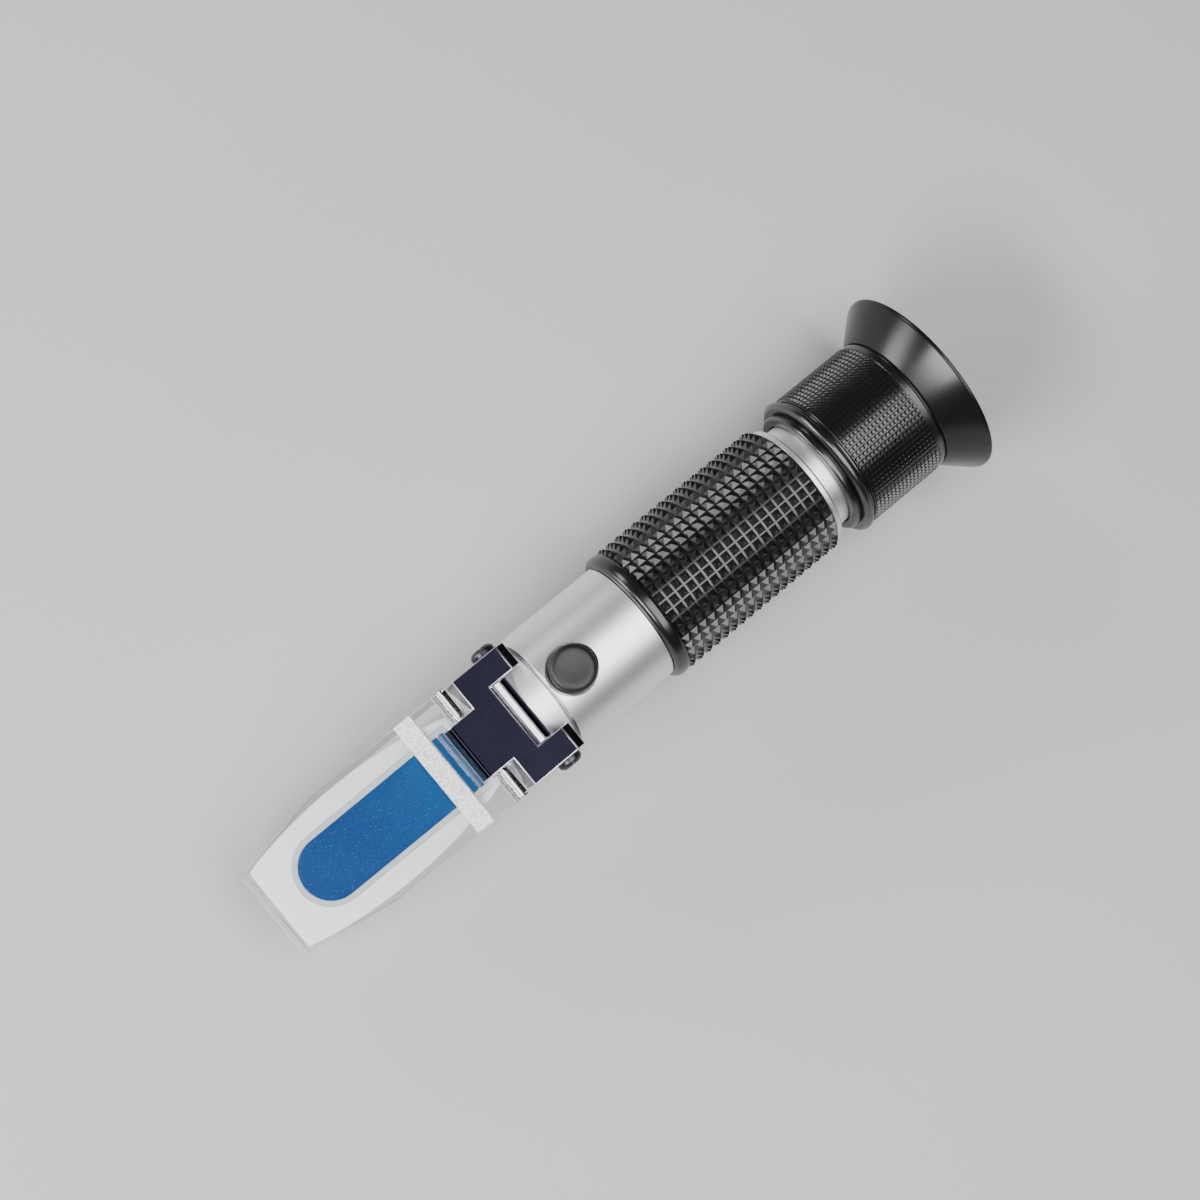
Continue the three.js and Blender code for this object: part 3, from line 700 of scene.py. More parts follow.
# %% Slope
NOSE_RADIUS = 11.7 * MM
SADDLE_RADIUS = 12.1 * MM
SADDLE_LENGTH = 14.3 * MM
NOSE_FLOOR = 4.3 * MM
FACE_DROP = 2.0 * MM
FACE_REAR_DEPTH = 3.3 * MM
saddle_front = tube_front - SADDLE_LENGTH
face_front_height = NOSE_FLOOR - NOSE_RADIUS
face_rise = SADDLE_RADIUS - FACE_REAR_DEPTH - face_front_height
slope = math.atan2(face_rise, pin.x - nose_front)
on_slope = (
    Matrix.Translation(pin)
    @ Matrix.Rotation(-slope, 4, "Y")
    @ Matrix.Rotation(math.pi, 4, "Z")
)
print("slope", round(math.degrees(slope), 2), "degrees")


def window(half, start, end, arcs=24):
    """The window's outline on the slope: square at the hinge end, half round at the tip."""
    outline = [(start, half), (start, -half)]
    for i in range(arcs + 1):
        angle = -math.pi / 2 + math.pi * i / arcs
        outline.append((end - half + half * math.cos(angle), half * math.sin(angle)))
    return outline


# %% Holder
GLASS_HALF = 6.4 * MM
GLASS_START = 4.6 * MM
GLASS_END = 44.2 * MM
GLASS_DEPTH = 4.0 * MM
SEAL_WIDTH = 1.1 * MM
PLUG_BORE = TUBE_BORE - 2.6 * MM
LIGHT_BORE = 5 * MM
BORE_STEP = 9 * MM
BORE_REACH = 38 * MM
BUSHING_RADIUS = 2.65 * MM
CUT_HALF = 20 * MM
holder = spun("holder_body", [
    (nose_front, 0),
    (nose_front, NOSE_RADIUS - 0.35 * MM),
    (nose_front + 0.35 * MM, NOSE_RADIUS),
    (saddle_front, NOSE_RADIUS),
    (saddle_front, SADDLE_RADIUS),
    (tube_front - 0.3 * MM, SADDLE_RADIUS),
    (tube_front - 0.3 * MM, TUBE_BORE - 0.1 * MM),
    (plug_rear, TUBE_BORE - 0.1 * MM),
    (plug_rear, PLUG_BORE),
    (tube_front - BORE_STEP, PLUG_BORE),
    (tube_front - BORE_STEP, LIGHT_BORE),
    (tube_front - BORE_REACH, LIGHT_BORE),
    (tube_front - BORE_REACH, 0),
], holder_metal(saddle_front - 0.2 * MM), soften=0.12 * MM)
bushing_outline = [(0, 0), (0, BUSHING_RADIUS), (tube_radius, BUSHING_RADIUS), (tube_radius, 0)]
bushing_hole = spun("bushing_hole", bushing_outline, aluminium, steps=48, soften=0)
combined(holder, upright(bushing_hole, port))

past_nose = 10 * MM
over_all = pin.z + 40 * MM
above_face = extruded("above_face", [
    (saddle_front, over_all),
    (saddle_front, face_front_height + (saddle_front - nose_front) * math.tan(slope)),
    (nose_front - past_nose, face_front_height - past_nose * math.tan(slope)),
    (nose_front - past_nose, over_all),
], -CUT_HALF, CUT_HALF)
moved(above_face, Matrix.Rotation(math.pi / 2, 4, "X"))
combined(holder, above_face)
seal_half = GLASS_HALF + SEAL_WIDTH
seal_start = GLASS_START - SEAL_WIDTH
seal_end = GLASS_END + SEAL_WIDTH
POCKET_GAP = 0.05 * MM
pocket = extruded(
    "pocket",
    window(seal_half + POCKET_GAP, seal_start - POCKET_GAP, seal_end + POCKET_GAP),
    -FACE_DROP - GLASS_DEPTH - POCKET_GAP,
    5 * MM,
)
combined(holder, moved(pocket, on_slope))
bevelled(holder, 0.12 * MM, segments=2, angle=40)

placed(holder, "barrel", "bright_chrome", "prism_holder")

# %% [markdown]
# ## Prism and seal
# The glass fills the pocket, flush with the metal, with a fine chamfer round its edge. The seal is
# a paste of even width round it, slightly below the glass. Its inside is cut by the glass's own
# outline, a hair wider, so the two always follow each other.

# %% Prism
glass_outline = window(GLASS_HALF, GLASS_START, GLASS_END)
glass_floor = -FACE_DROP - GLASS_DEPTH
prism_low, prism_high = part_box("prism")
prism_blue = blue_glass(prism_low[0], prism_high[0])
glass = extruded("prism_glass", glass_outline, glass_floor, -FACE_DROP, prism_blue)
bevelled(glass, 0.15 * MM)
placed(moved(glass, on_slope), "barrel", "blue_glass", "prism")

paste = extruded(
    "prism_seal_paste",
    window(seal_half, seal_start, seal_end),
    glass_floor,
    -FACE_DROP - 0.05 * MM,
    seal_paste,
)
HAIR = 0.03 * MM
core_outline = window(GLASS_HALF + HAIR, GLASS_START - HAIR, GLASS_END + HAIR)
combined(paste, extruded("core", core_outline, -9 * MM, 0))
bevelled(paste, 0.12 * MM)
placed(moved(paste, on_slope), "barrel", "sealant", "prism_seal")

# %% [markdown]
# ## Hinge block, its pin and side screws
# The block is milled from one bar, so it is drawn in profile and cut the same way: a wide body with
# a sloped rear, a narrower nose in front of it, and a notch between two arms. The notch starts with
# a thin groove, a ledge and a hollow run down to the saddle. The edges are rounded. The rounds and
# the ledge get a bright metal of their own, a painted highlight and a painted reflection on the
# black chrome, before the saddle and the slope are cut out from below.


# %% Profiles
def in_profile(name, outline, half, material=None):
    """Raises a side view of (station, height) points equally to both sides."""
    raised = extruded(name, outline, -half, half, material)
    return moved(raised, Matrix.Rotation(math.pi / 2, 4, "X"))


def kept_flat(obj):
    """Joins coplanar faces, so that only true edges are left to round."""
    bm = bmesh.new()
    bm.from_mesh(obj.data)
    bmesh.ops.remove_doubles(bm, verts=bm.verts, dist=1e-6)
    bmesh.ops.dissolve_limit(bm, angle_limit=math.radians(1), verts=bm.verts, edges=bm.edges)
    bm.to_mesh(obj.data)
    bm.free()
    return obj


# %% Hinge block
_, block_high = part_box("hinge_block")
block_top = block_high[2]
block_half = block_high[1]
BLOCK_FRONT = 14.0 * MM
BLOCK_CHAMFER = 2.0 * MM
BLOCK_SKIRT = 1.5 * MM
NOSE_HALF = 6.1 * MM
NOSE_ROUND = 1.2 * MM
NOSE_STEPS = 5
NOTCH_FRONT = 8.9 * MM
NOTCH_HALF = 7.2 * MM
wide_front = tube_front - BLOCK_FRONT
tee = [
    (block_front, NOSE_HALF),
    (wide_front, NOSE_HALF),
    (wide_front, block_half),
    (block_rear, block_half),
]
tee += [(x, -y) for x, y in reversed(tee)]
block = extruded("hinge_block_body", tee, BLOCK_SKIRT, block_top, chrome_black)
combined(block, in_profile("rear_slope", [
    (block_rear - BLOCK_CHAMFER - MM, block_top + MM),
    (block_rear + MM, block_top - BLOCK_CHAMFER - MM),
    (block_rear + MM, block_top + MM),
], CUT_HALF))
nose_cut = [(block_front - MM, block_top + MM), (block_front - MM, block_top - NOSE_ROUND)]
for i in range(NOSE_STEPS + 1):
    turned = math.pi / 2 * i / NOSE_STEPS
    across_nose = NOSE_ROUND * (1 - math.cos(turned))
    nose_cut.append((block_front + across_nose, block_top - NOSE_ROUND * (1 - math.sin(turned))))
nose_cut.append((block_front + NOSE_ROUND, block_top + MM))
combined(block, in_profile("nose_round", nose_cut, CUT_HALF))

notch = tube_front - NOTCH_FRONT
ledge = block_top - 0.5 * MM
groove = ledge - 0.6 * MM
saddle_lip = SADDLE_RADIUS + 0.15 * MM
notch_outline = [
    (notch, block_top + MM),
    (notch, groove),
    (notch + 0.80 * MM, groove),
    (notch + 0.85 * MM, ledge),
    (notch + 2.2 * MM, ledge - 0.15 * MM),
    (notch + 2.5 * MM, ledge - 0.60 * MM),
    (notch + 3.1 * MM, saddle_lip + 0.05 * MM),
    (notch + 3.8 * MM, saddle_lip),
    (notch + 4.4 * MM, 9.7 * MM),
    (notch + 4.4 * MM, 0),
    (tube_front + MM, 0),
    (tube_front + MM, block_top + MM),
]
combined(block, in_profile("block_notch", notch_outline, NOTCH_HALF))
kept_flat(block)
# Painted highlights: the rounds take the bright edge metal in place of the light caught on the
# black chrome's edges.
bevelled(block, 0.22 * MM, segments=2, angle=38, edge_material=highlight_edge_chrome)
# Painted reflection: the ledge's level faces in the notch take the same bright metal.
for face in block.data.polygons:
    on_ledge = notch + 0.8 * MM < face.center.x < notch + 2.3 * MM
    in_notch = abs(face.center.y) < NOTCH_HALF and face.center.z < block_top - 0.3 * MM
    if on_ledge and in_notch and face.normal.z > 0.9:
        face.material_index = 1



def slab(name, start, end, low, high):
    """A cutting block, wider than the instrument, between two stations and two heights."""
    plan = [(start, -CUT_HALF), (end, -CUT_HALF), (end, CUT_HALF), (start, CUT_HALF)]
    return extruded(name, plan, low, high)


below_slope = slab("below_slope", -4 * MM, 60 * MM, -40 * MM, -FACE_DROP + 0.1 * MM)
moved(below_slope, on_slope)
ahead = slab("ahead", -90 * MM, saddle_front, -CUT_HALF, 40 * MM)
combined(below_slope, ahead, "INTERSECT")
combined(block, below_slope)
combined(block, spun("over_saddle", [
    (saddle_front - 0.1 * MM, 0),
    (saddle_front - 0.1 * MM, SADDLE_RADIUS + 0.1 * MM),
    (tube_front, SADDLE_RADIUS + 0.1 * MM),
    (tube_front, 0),
], None, soften=0))
placed(block, "barrel", "dark_chrome", "hinge_block")


# %% Hinge pin
pin_half = pin_high[1] - pin.y
pin_rod = spun("hinge_pin_rod", [
    (-pin_half, 0),
    (-pin_half, pin_radius),
    (pin_half, pin_radius),
    (pin_half, 0),
], steel, steps=48, soften=0.2 * MM)
moved(pin_rod, Matrix.Translation(pin) @ Matrix.Rotation(math.pi / 2, 4, "Z"))
placed(pin_rod, "barrel", "steel", "hinge_pin")


# %% Side screws
HEAD_HEIGHT = 1.8 * MM
SHANK_RADIUS = 1.2 * MM
SLOT_SIDE = 0.33 * MM


def side_screw(node, name, side):
    low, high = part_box(node)
    middle = (Vector(low) + Vector(high)) / 2
    head_radius = (high[2] - low[2]) / 2
    top = max(abs(low[1]), abs(high[1]))
    foot = min(abs(low[1]), abs(high[1]))
    under = top - HEAD_HEIGHT
    slot_floor = top - 0.75 * MM
    screw = spun(name, [
        (foot, 0),
        (foot, SHANK_RADIUS),
        (under, SHANK_RADIUS),
        (under, head_radius),
        (slot_floor, head_radius),
        (top - 0.15 * MM, head_radius - 0.65 * MM),
        (top, head_radius - 1.3 * MM),
        (top, 0),
    ], dark_screw_metal, steps=72, soften=0.25 * MM)
    slot = extruded("slot", [
        (slot_floor, SLOT_SIDE),
        (slot_floor, -SLOT_SIDE),
        (top + MM, -SLOT_SIDE),
        (top + MM, SLOT_SIDE),
    ], -4 * MM, 4 * MM)
    combined(screw, slot)
    turn = Matrix.Rotation(side * math.pi / 2, 4, "Z")
    moved(screw, Matrix.Translation((middle.x, 0, middle.z)) @ turn)
    placed(screw, "barrel", "dark_chrome", node)


side_screw("hinge_screw_left", "left_screw", 1)
side_screw("hinge_screw_right", "right_screw", -1)

# %% [markdown]
# ## Daylight plate
# The plate is one moulding of clear acrylic: a flat plate that narrows towards the tip, a lip
# turned down over the nose, and two ears that grip the pin on either side of the hinge block. Real
# refraction makes its rounded edges glow, so it has to be one closed solid: the plan and the side
# view are cut from each other, the edges are rounded, and the ears and the pin's hole come last.
# The ears are a hair narrower than the plate, so that no two faces lie in one plane.
# The frosted band is in the material, because it is a texture on the moulding.

# %% Daylight plate
BAND_START = 7.0 * MM
BAND_END = 10.9 * MM
PLATE_GAP = 0.15 * MM
PLATE_THICKNESS = 2.6 * MM
LIP_THICKNESS = 1.7 * MM
TAPER_START = 31.8 * MM
TAPER_END = 52.15 * MM
TIP_HALF = 9.85 * MM
SLOT_HALF = NOSE_HALF + 0.3 * MM
SLOT_DEPTH = 5.2 * MM
KNUCKLE_RADIUS = 1.85 * MM
plate_low, plate_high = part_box("daylight_plate")
under = PLATE_GAP - FACE_DROP
over_plate = under + PLATE_THICKNESS


def slope_height(x, above):
    """Height in the row of a line that runs parallel to the slope, this far above the pin."""
    return pin.z + above / math.cos(slope) + (x - pin.x) * math.tan(slope)


plan = [
    (0, plate_high[1]),
    (TAPER_START, plate_high[1]),
    (TAPER_END, TIP_HALF),
    (TAPER_END + 3 * MM, TIP_HALF),
]
plan += [(x, -y) for x, y in reversed(plan)]
acrylic = clear_acrylic(pin, slope, BAND_START, BAND_END)
plate = moved(extruded("daylight_plate_clear", plan, -CUT_HALF, CUT_HALF, acrylic), on_slope)
lip_inside = plate_low[0] + LIP_THICKNESS
combined(plate, in_profile("plate_section", [
    (pin.x, slope_height(pin.x, under)),
    (pin.x, slope_height(pin.x, over_plate)),
    (plate_low[0], slope_height(plate_low[0], over_plate)),
    (plate_low[0], plate_low[2]),
    (lip_inside, plate_low[2]),
    (lip_inside, slope_height(lip_inside, under)),
], 30 * MM), "INTERSECT")
behind_pin = -5 * MM
slot_outline = [
    (behind_pin, SLOT_HALF),
    (SLOT_DEPTH, SLOT_HALF),
    (SLOT_DEPTH, -SLOT_HALF),
    (behind_pin, -SLOT_HALF),
]
combined(plate, moved(extruded("plate_slot", slot_outline, -8 * MM, 8 * MM), on_slope))
bevelled(kept_flat(plate), 0.28 * MM, segments=3)


def along_pin(obj):
    return moved(obj, Matrix.Translation(pin) @ Matrix.Rotation(math.pi / 2, 4, "Z"))


ear_inner = SLOT_HALF + HAIR
ear_outer = plate_high[1] - HAIR
for near, far in [(-ear_outer, -ear_inner), (ear_inner, ear_outer)]:
    knuckle = [(near, 0), (near, KNUCKLE_RADIUS), (far, KNUCKLE_RADIUS), (far, 0)]
    ear = spun("knuckle", knuckle, None, steps=64, soften=0.25 * MM)
    combined(plate, along_pin(ear), "UNION")
hole_radius = pin_radius + 0.1 * MM
hole = [(-CUT_HALF, 0), (-CUT_HALF, hole_radius), (CUT_HALF, hole_radius), (CUT_HALF, 0)]
combined(plate, along_pin(spun("pin_hole", hole, None, steps=64, soften=0)))
placed(plate, "flap", "clear_acrylic", "daylight_plate")

# %% [markdown]
# ## Calibration cap, bushing and screw
# A rubber plug keeps dirt out of the port. It has a rounded edge and a shallow dished top. Under
# it are a brass bushing and the slotted steel screw that moves the objective up and down. Those two
# keep their frame solids.

# %% Cap
cap_radius = (cap_high[0] - cap_low[0]) / 2
cap_top = cap_high[2]
cap = spun("calibration_plug", [
    (cap_low[2], 0),
    (cap_low[2], cap_radius - 0.4 * MM),
    (cap_low[2] + 0.4 * MM, cap_radius),
    (cap_top - 0.9 * MM, cap_radius),
    (cap_top - 0.35 * MM, cap_radius - 0.25 * MM),
    (cap_top, cap_radius - 0.9 * MM),
    (cap_top, cap_radius - 2.0 * MM),
    (cap_top - 0.12 * MM, cap_radius - 2.8 * MM),
    (cap_top - 0.12 * MM, 0),
], cap_rubber, steps=96, soften=0.5 * MM)
placed(upright(cap, port), "port_cap", "black_rubber", "calibration_cap")

# %% [markdown]
# ## Repeating studs with Geometry Nodes
# The grip's pyramids and the focus ring's studs are the same idea at two sizes: a flat grid is
# rolled into a cylinder, and a four-sided cone, its point cut off, stands on every grid point with
# its top facing out. One tree makes both, with its sizes as named inputs.


# %% Stud tree
def stud_tree():
    tree = bpy.data.node_groups.new("studs_round_a_cylinder", "GeometryNodeTree")
    face = tree.interface
    measures = ("Length", "Radius", "Foot", "Top", "Height", "Station")
    wanted = [("Rows", "NodeSocketInt"), ("Around", "NodeSocketInt")]
    wanted += [(name, "NodeSocketFloat") for name in measures]
    wanted.append(("Material", "NodeSocketMaterial"))
    for name, kind in wanted:
        face.new_socket(name, in_out="INPUT", socket_type=kind)
    face.new_socket("Geometry", in_out="OUTPUT", socket_type="NodeSocketGeometry")
    graph = Graph(tree)
    group = tree.nodes.new("NodeGroupInput")
    given = {name: Signal(graph, group.outputs[name]) for name, _ in wanted}

    roll = FULL_TURN * (1 - 1 / given["Around"])
    flat = graph.node("GeometryNodeMeshGrid", {}, {
        "Size X": given["Length"],
        "Size Y": roll,
        "Vertices X": given["Rows"],
        "Vertices Y": given["Around"],
    })
    x, angle, _ = graph.split(graph.node("GeometryNodeInputPosition"))
    sine, cosine = angle.maths("SINE", angle), angle.maths("COSINE", angle)
    rolled = graph.vector(x + given["Station"], given["Radius"] * sine, given["Radius"] * cosine)
    cylinder = graph.node("GeometryNodeSetPosition", {}, {"Geometry": flat, "Position": rolled})

    root = 2 ** 0.5
    cone = graph.node("GeometryNodeMeshCone", {"fill_type": "NGON"}, {
        "Vertices": 4,
        "Radius Top": given["Top"] / root,
        "Radius Bottom": given["Foot"] / root,
        "Depth": given["Height"],
    })
    squared = graph.node("GeometryNodeTransform", {}, {
        "Geometry": cone,
        "Rotation": (0, 0, math.pi / 4),
    })
    _, y, z = graph.split(graph.node("GeometryNodeInputPosition"))
    lean = graph.vector(-y.maths("ARCTAN2", y, z), 0, 0)
    copies = graph.node("GeometryNodeInstanceOnPoints", {}, {
        "Points": cylinder,
        "Instance": squared,
        "Rotation": lean,
    })
    real = graph.node("GeometryNodeRealizeInstances", {}, {"Geometry": copies})
    dressed = graph.node("GeometryNodeSetMaterial", {}, {
        "Geometry": real,
        "Material": given["Material"],
    })
    output = tree.nodes.new("NodeGroupOutput")
    tree.links.new(dressed.socket, output.inputs["Geometry"])
    return tree


studs = stud_tree()


def studded(name, base, material, **sizes):
    """Grows studs and joins them to the piece they stand on."""
    carrier = keep(name + "_studs", bpy.data.meshes.new(name), material)
    modifier = carrier.modifiers.new("studs", "NODES")
    modifier.node_group = studs
    for item in studs.interface.items_tree:
        if item.in_out == "INPUT":
            value = material if item.name == "Material" else sizes[item.name.lower()]
            modifier[item.identifier] = value
    tree = bpy.context.evaluated_depsgraph_get()
    grown = bpy.data.meshes.new_from_object(carrier.evaluated_get(tree))
    bpy.data.objects.remove(carrier)
    bm = bmesh.new()
    bm.from_mesh(grown)
    bmesh.ops.recalc_face_normals(bm, faces=bm.faces)
    bm.from_mesh(base.data)
    for face in bm.faces:
        face.material_index = 0
    bm.to_mesh(base.data)
    bm.free()
    print(name, "grew", sizes["rows"] * sizes["around"], "studs")


# %% [markdown]
# ## Rubber grip
# A smooth rounded band leads into rows of small square pyramids with narrow flat valleys between
# them. The sleeve is spun at the valleys' level and the pyramids reach the grip's full radius.

# %% Grip
BAND_LENGTH = 3.0 * MM
PYRAMID_HEIGHT = 0.85 * MM
PYRAMID_ROOT = 0.06 * MM
PYRAMID_ROWS = 18
PYRAMIDS_AROUND = 41
valley = grip_radius - PYRAMID_HEIGHT
band_rear = grip_front + BAND_LENGTH
sleeve = spun("grip_sleeve", [
    (grip_front, seat + 0.1 * MM),
    (grip_front, grip_radius - 1.1 * MM),
    (grip_front + 0.5 * MM, grip_radius - 0.4 * MM),
    (grip_front + 1.3 * MM, grip_radius - 0.12 * MM),
    (band_rear - 0.5 * MM, grip_radius - 0.12 * MM),
    (band_rear, grip_radius - 0.35 * MM),
    (band_rear, valley),
    (grip_rear, valley),
    (grip_rear, seat + 0.1 * MM),
], grip_rubber, steps=192, soften=0.35 * MM)
pitch = (grip_rear - band_rear) / PYRAMID_ROWS
studded(
    "grip",
    sleeve,
    grip_rubber,
    rows=PYRAMID_ROWS,
    around=PYRAMIDS_AROUND,
    length=pitch * (PYRAMID_ROWS - 1),
    radius=valley - PYRAMID_ROOT,
    foot=pitch * 0.84,
    top=0.10 * MM,
    height=PYRAMID_HEIGHT + PYRAMID_ROOT,
    station=(band_rear + grip_rear) / 2,
)
placed(sleeve, "barrel", "black_rubber", "rubber_grip")

# %% [markdown]
# ## Focus ring
# From the front the ring has a plain step, a groove, a rounded flange, the studded stretch for the
# fingers, and a smooth lip next to the eyecup.

# %% Focus ring
STUD_ROWS = 17
STUDS_AROUND = 88
STUD_ROOT = 0.05 * MM
ring_bore = NECK_RADIUS + 0.3 * MM
ring_rear_bore = ring_bore + 1.3 * MM
step_radius = ring_bore + 1.9 * MM
flange_radius = crown("focus_ring")
stud_radius = ring_bore + 3.5 * MM
lip_radius = ring_bore + 3.3 * MM
stud_foot = stud_radius - 0.38 * MM
flange_front = ring_front + 1.6 * MM
flange_rear = flange_front + 2.0 * MM
studs_front = flange_rear + 0.8 * MM
studs_rear = studs_front + 17.0 * MM
counterbore = barrel_rear - 3.5 * MM
ring = spun("focus_ring_body", [
    (ring_front, ring_bore),
    (ring_front, step_radius - 0.3 * MM),
    (ring_front + 0.3 * MM, step_radius),
    (flange_front - 0.35 * MM, step_radius),
    (flange_front - 0.35 * MM, step_radius - 0.5 * MM),
    (flange_front, step_radius - 0.5 * MM),
    (flange_front, flange_radius - 0.7 * MM),
    (flange_front + 0.6 * MM, flange_radius),
    (flange_rear - 0.6 * MM, flange_radius),
    (flange_rear, flange_radius - 0.7 * MM),
    (flange_rear, stud_foot - 0.5 * MM),
    (studs_front - 0.15 * MM, stud_foot - 0.5 * MM),
    (studs_front - 0.15 * MM, stud_foot),
    (studs_rear + 0.15 * MM, stud_foot),
    (studs_rear + 0.15 * MM, lip_radius),
    (ring_rear, lip_radius),
    (ring_rear, ring_rear_bore),
    (counterbore, ring_rear_bore),
    (counterbore, ring_bore),
], ring_plastic, steps=192, soften=0.22 * MM)
ring_pitch = (studs_rear - studs_front) / STUD_ROWS
studded(
    "focus_ring",
    ring,
    ring_plastic,
    rows=STUD_ROWS,
    around=STUDS_AROUND,
    length=ring_pitch * (STUD_ROWS - 1),
    radius=stud_foot - STUD_ROOT,
    foot=ring_pitch * 0.95,
    top=ring_pitch * 0.50,
    height=stud_radius - stud_foot + STUD_ROOT,
    station=(studs_front + studs_rear) / 2,
)
placed(ring, "focus", "black_plastic", "focus_ring")

# %% [markdown]
# ## Eyecup
# A thin rubber cone that shades the eye. Its rim is a flat ring with rounded edges, and its sleeve
# sits in the focus ring behind the last lens.

# %% Eyecup
SLEEVE_RADIUS = ring_rear_bore - 0.1 * MM
mouth = SLEEVE_RADIUS - 1.3 * MM
rim_inner = rim_radius - 1.5 * MM
cup = spun("eyecup_rubber", [
    (cup_sleeve, mouth),
    (cup_sleeve, SLEEVE_RADIUS),
    (ring_rear + 0.05 * MM, SLEEVE_RADIUS),
    (ring_rear + 0.05 * MM, lip_radius - 0.45 * MM),
    (ring_rear + 0.45 * MM, lip_radius - 0.45 * MM),
    (ring_rear + 0.45 * MM, lip_radius + 0.1 * MM),
    (cup_rim - 1.0 * MM, rim_radius - 0.3 * MM),
    (cup_rim - 0.5 * MM, rim_radius),
    (cup_rim, rim_radius),
    (cup_rim, rim_inner),
    (cup_rim - 0.8 * MM, rim_inner - 0.2 * MM),
    (ring_rear + 0.6 * MM, mouth + 0.6 * MM),
    (ring_rear - 0.6 * MM, mouth),
], cup_rubber, steps=192, soften=0.3 * MM)
placed(cup, "focus", "black_rubber", "eyecup")

# %% [markdown]
# ## The optics seen through the eyecup
# Looking in from behind shows the ring retainer, the lens barrel's rear flange, the lens retainer
# and the eye lens, so these are spun finely too. The lens is a real curved glass. The spacer, the
# field lens and the objective lens are made the same way.

# %% Rear optics
retainer_front, retainer_rear = ends("ring_retainer")
retainer_bore = 9.5 * MM
placed(spun("ring_retainer_ring", [
    (retainer_front, SLEEVE_RADIUS),
    (retainer_rear, SLEEVE_RADIUS),
    (retainer_rear, retainer_bore + 0.4 * MM),
    (retainer_rear - 0.4 * MM, retainer_bore),
    (retainer_front, retainer_bore),
], anodised, steps=128), "focus", "black_anodised", "ring_retainer")

barrel_radius = REAR_BORE - 0.1 * MM
barrel_bore = barrel_radius - 1.6 * MM
lens_opening = barrel_bore - 1.2 * MM
flange_face = barrel_rear - 3.4 * MM
placed(spun("lens_barrel_tube", [
    (barrel_front, barrel_radius),
    (flange_face, barrel_radius),
    (flange_face, crown("lens_barrel")),
    (barrel_rear, crown("lens_barrel")),
    (barrel_rear, barrel_bore),
    (barrel_front + 1.6 * MM, barrel_bore),
    (barrel_front + 1.6 * MM, lens_opening),
    (barrel_front, lens_opening),
], anodised, steps=128), "eyepiece", "black_anodised", "lens_barrel")


def flat_ring(node, name, body, inner):
    front, rear = ends(node)
    outer = crown(node)
    outline = [(front, outer), (rear, outer), (rear, inner), (front, inner)]
    placed(spun(name, outline, anodised, steps=128), body, "black_anodised", node)


flat_ring("lens_retainer", "lens_retainer_ring", "eyepiece", lens_opening)
flat_ring("lens_spacer", "lens_spacer_ring", "eyepiece", lens_opening)


def curved_lens(node, name, body, front_bulge, rear_bulge, arcs=12):
    front, rear = ends(node)
    radius = crown(node)
    shares = [i / arcs for i in range(arcs + 1)]
    outline = [(front + front_bulge * s * s, radius * s) for s in shares]
    outline += [(rear - rear_bulge * s * s, radius * s) for s in reversed(shares)]
    placed(spun(name, outline, optics, steps=96, soften=0), body, "clear_glass", node)


curved_lens("eye_lens", "eye_lens_glass", "eyepiece", 1.2 * MM, 0)
curved_lens("field_lens", "field_lens_glass", "eyepiece", 0, 1.2 * MM)
curved_lens("objective_lens", "objective_lens_glass", "objective", 0.8 * MM, 0.8 * MM)

# %% [markdown]
# ## Bimetal strips
# Two thin strips hold the objective's cell. They bend when the calibration screw moves the cell, so
# each is cut into many short lengths along its run between the tube and the cell.

# %% Bimetal strips
STRIP_STEPS = 24
for end in ("top", "bottom"):
    low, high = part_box("bimetal_strip_" + end)
    bm = bmesh.new()
    rings = []
    for step in range(STRIP_STEPS + 1):
        x = low[0] + (high[0] - low[0]) * step / STRIP_STEPS
        corners = [(low[1], low[2]), (high[1], low[2]), (high[1], high[2]), (low[1], high[2])]
        rings.append([bm.verts.new((x, y, z)) for y, z in corners])
    for near, far in zip(rings, rings[1:]):
        for i in range(4):
            j = (i + 1) % 4
            bm.faces.new((near[i], near[j], far[j], far[i]))
    bm.faces.new(rings[0])
    bm.faces.new(rings[-1])
    strip = keep("bent_strip_" + end, finish_mesh(bm, "bent_strip_" + end), bimetal)
    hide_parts("bimetal_strip_" + end)
    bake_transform(strip)
    print(strip.name, len(strip.data.polygons), "faces, bends between the cell and the tube")

# %% [markdown]
# ## Hidden pieces
# The pieces inside the tube keep their frame solids, which are right as they are, and get the
# finish of the real ones.

# %% Hidden pieces
hidden = [
    (brass, ["calibration_bushing"]),
    (steel, ["calibration_screw", "strip_screw_top", "strip_screw_bottom", "guide_pin"]),
    (anodised, ["lens_cell", "objective_retainer", "strip_carrier", "aperture_stop"]),
    (anodised, ["reticle_holder", "reticle_retainer"]),
    (optics, ["reticle"]),
    (cap_rubber, ["nose_o_ring", "neck_o_ring"]),
]
for material, nodes in hidden:
    for node in nodes:
        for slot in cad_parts[node].material_slots:
            slot.link = "OBJECT"
            slot.material = material
    print(material.name, "on", ", ".join(nodes))

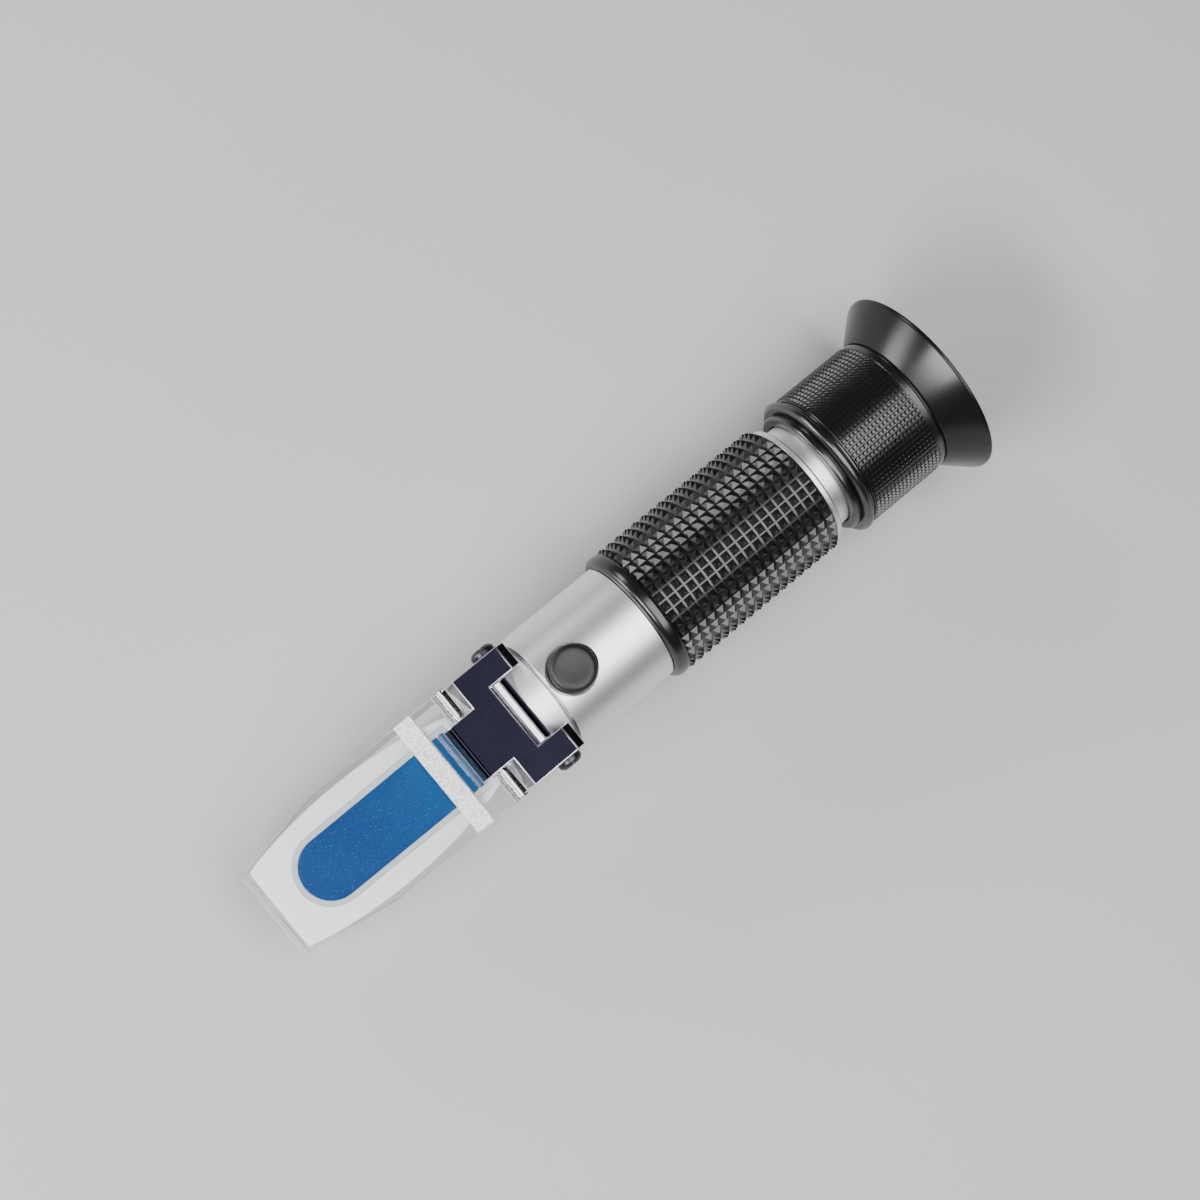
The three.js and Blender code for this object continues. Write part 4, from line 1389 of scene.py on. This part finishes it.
# %% [markdown]
# ## Floor and light
# The instrument lies on a plain pale floor that just touches the eyecup. Four soft lights shape the
# metal: the largest hangs over the eyepiece half and the near side, one leans over the prism end to
# light the slanted face, and two weaker ones stand on the far side and low beyond the tip. The sky
# is even and dim.

# %% Floor
floor_material = Finish("floor")
floor_cloud = floor_material.noise(12, 3)
floor_tone = floor_material.mix(floor_cloud, colour(0.46, 0.46, 0.46), colour(0.49, 0.49, 0.485))
floor_material.surface(Base_Color=floor_tone, Roughness=0.75 + floor_cloud * 0.1)
floor_bm = bmesh.new()
bmesh.ops.create_grid(floor_bm, x_segments=2, y_segments=2, size=3)
bmesh.ops.translate(floor_bm, verts=floor_bm.verts, vec=(0, 0, -rim_radius))
floor_mesh = bpy.data.meshes.new("floor")
floor_bm.to_mesh(floor_mesh)
floor_bm.free()
floor = keep("floor", floor_mesh, floor_material.material)
floor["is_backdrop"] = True


# %% Lights
SKY_STRENGTH = 0.06


def softbox(name, place, target, width, length, watts):
    light = bpy.data.lights.new(name, "AREA")
    light.shape = "RECTANGLE"
    light.size = width
    light.size_y = length
    light.energy = watts
    obj = bpy.data.objects.new(name, light)
    bpy.context.scene.collection.objects.link(obj)
    obj.location = place
    obj.rotation_euler = (Vector(target) - Vector(place)).to_track_quat("-Z", "Y").to_euler()


softbox("overhead", (0.09, -0.25, 0.66), (0.09, -0.25, 0), width=0.48, length=0.66, watts=6.4)
softbox("prism_side", (-0.56, 0, 0.56), (-0.06, 0, 0), width=0.50, length=0.14, watts=7.6)
softbox("far_side", (-0.10, 0.80, 0.40), (0, 0, 0), width=0.30, length=0.20, watts=2.0)
softbox("tip_side", (-0.52, 0.45, 0.17), (0.06, 0, 0), width=0.34, length=0.24, watts=3.5)

world = bpy.data.worlds.new("sky")
world.use_nodes = True
world.node_tree.nodes["Background"].inputs["Color"].default_value = colour(0.80, 0.85, 0.92)
world.node_tree.nodes["Background"].inputs["Strength"].default_value = SKY_STRENGTH
bpy.context.scene.world = world

# %% [markdown]
# ## Sizes and finish
# Both boxes are printed, the frame's at the start and the visual model's here. The visual
# model may not outgrow the frame.

# %% Finish
visual_box = plain(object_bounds())
print("visual box in mm:", [[round(v / MM, 1) for v in corner] for corner in visual_box])
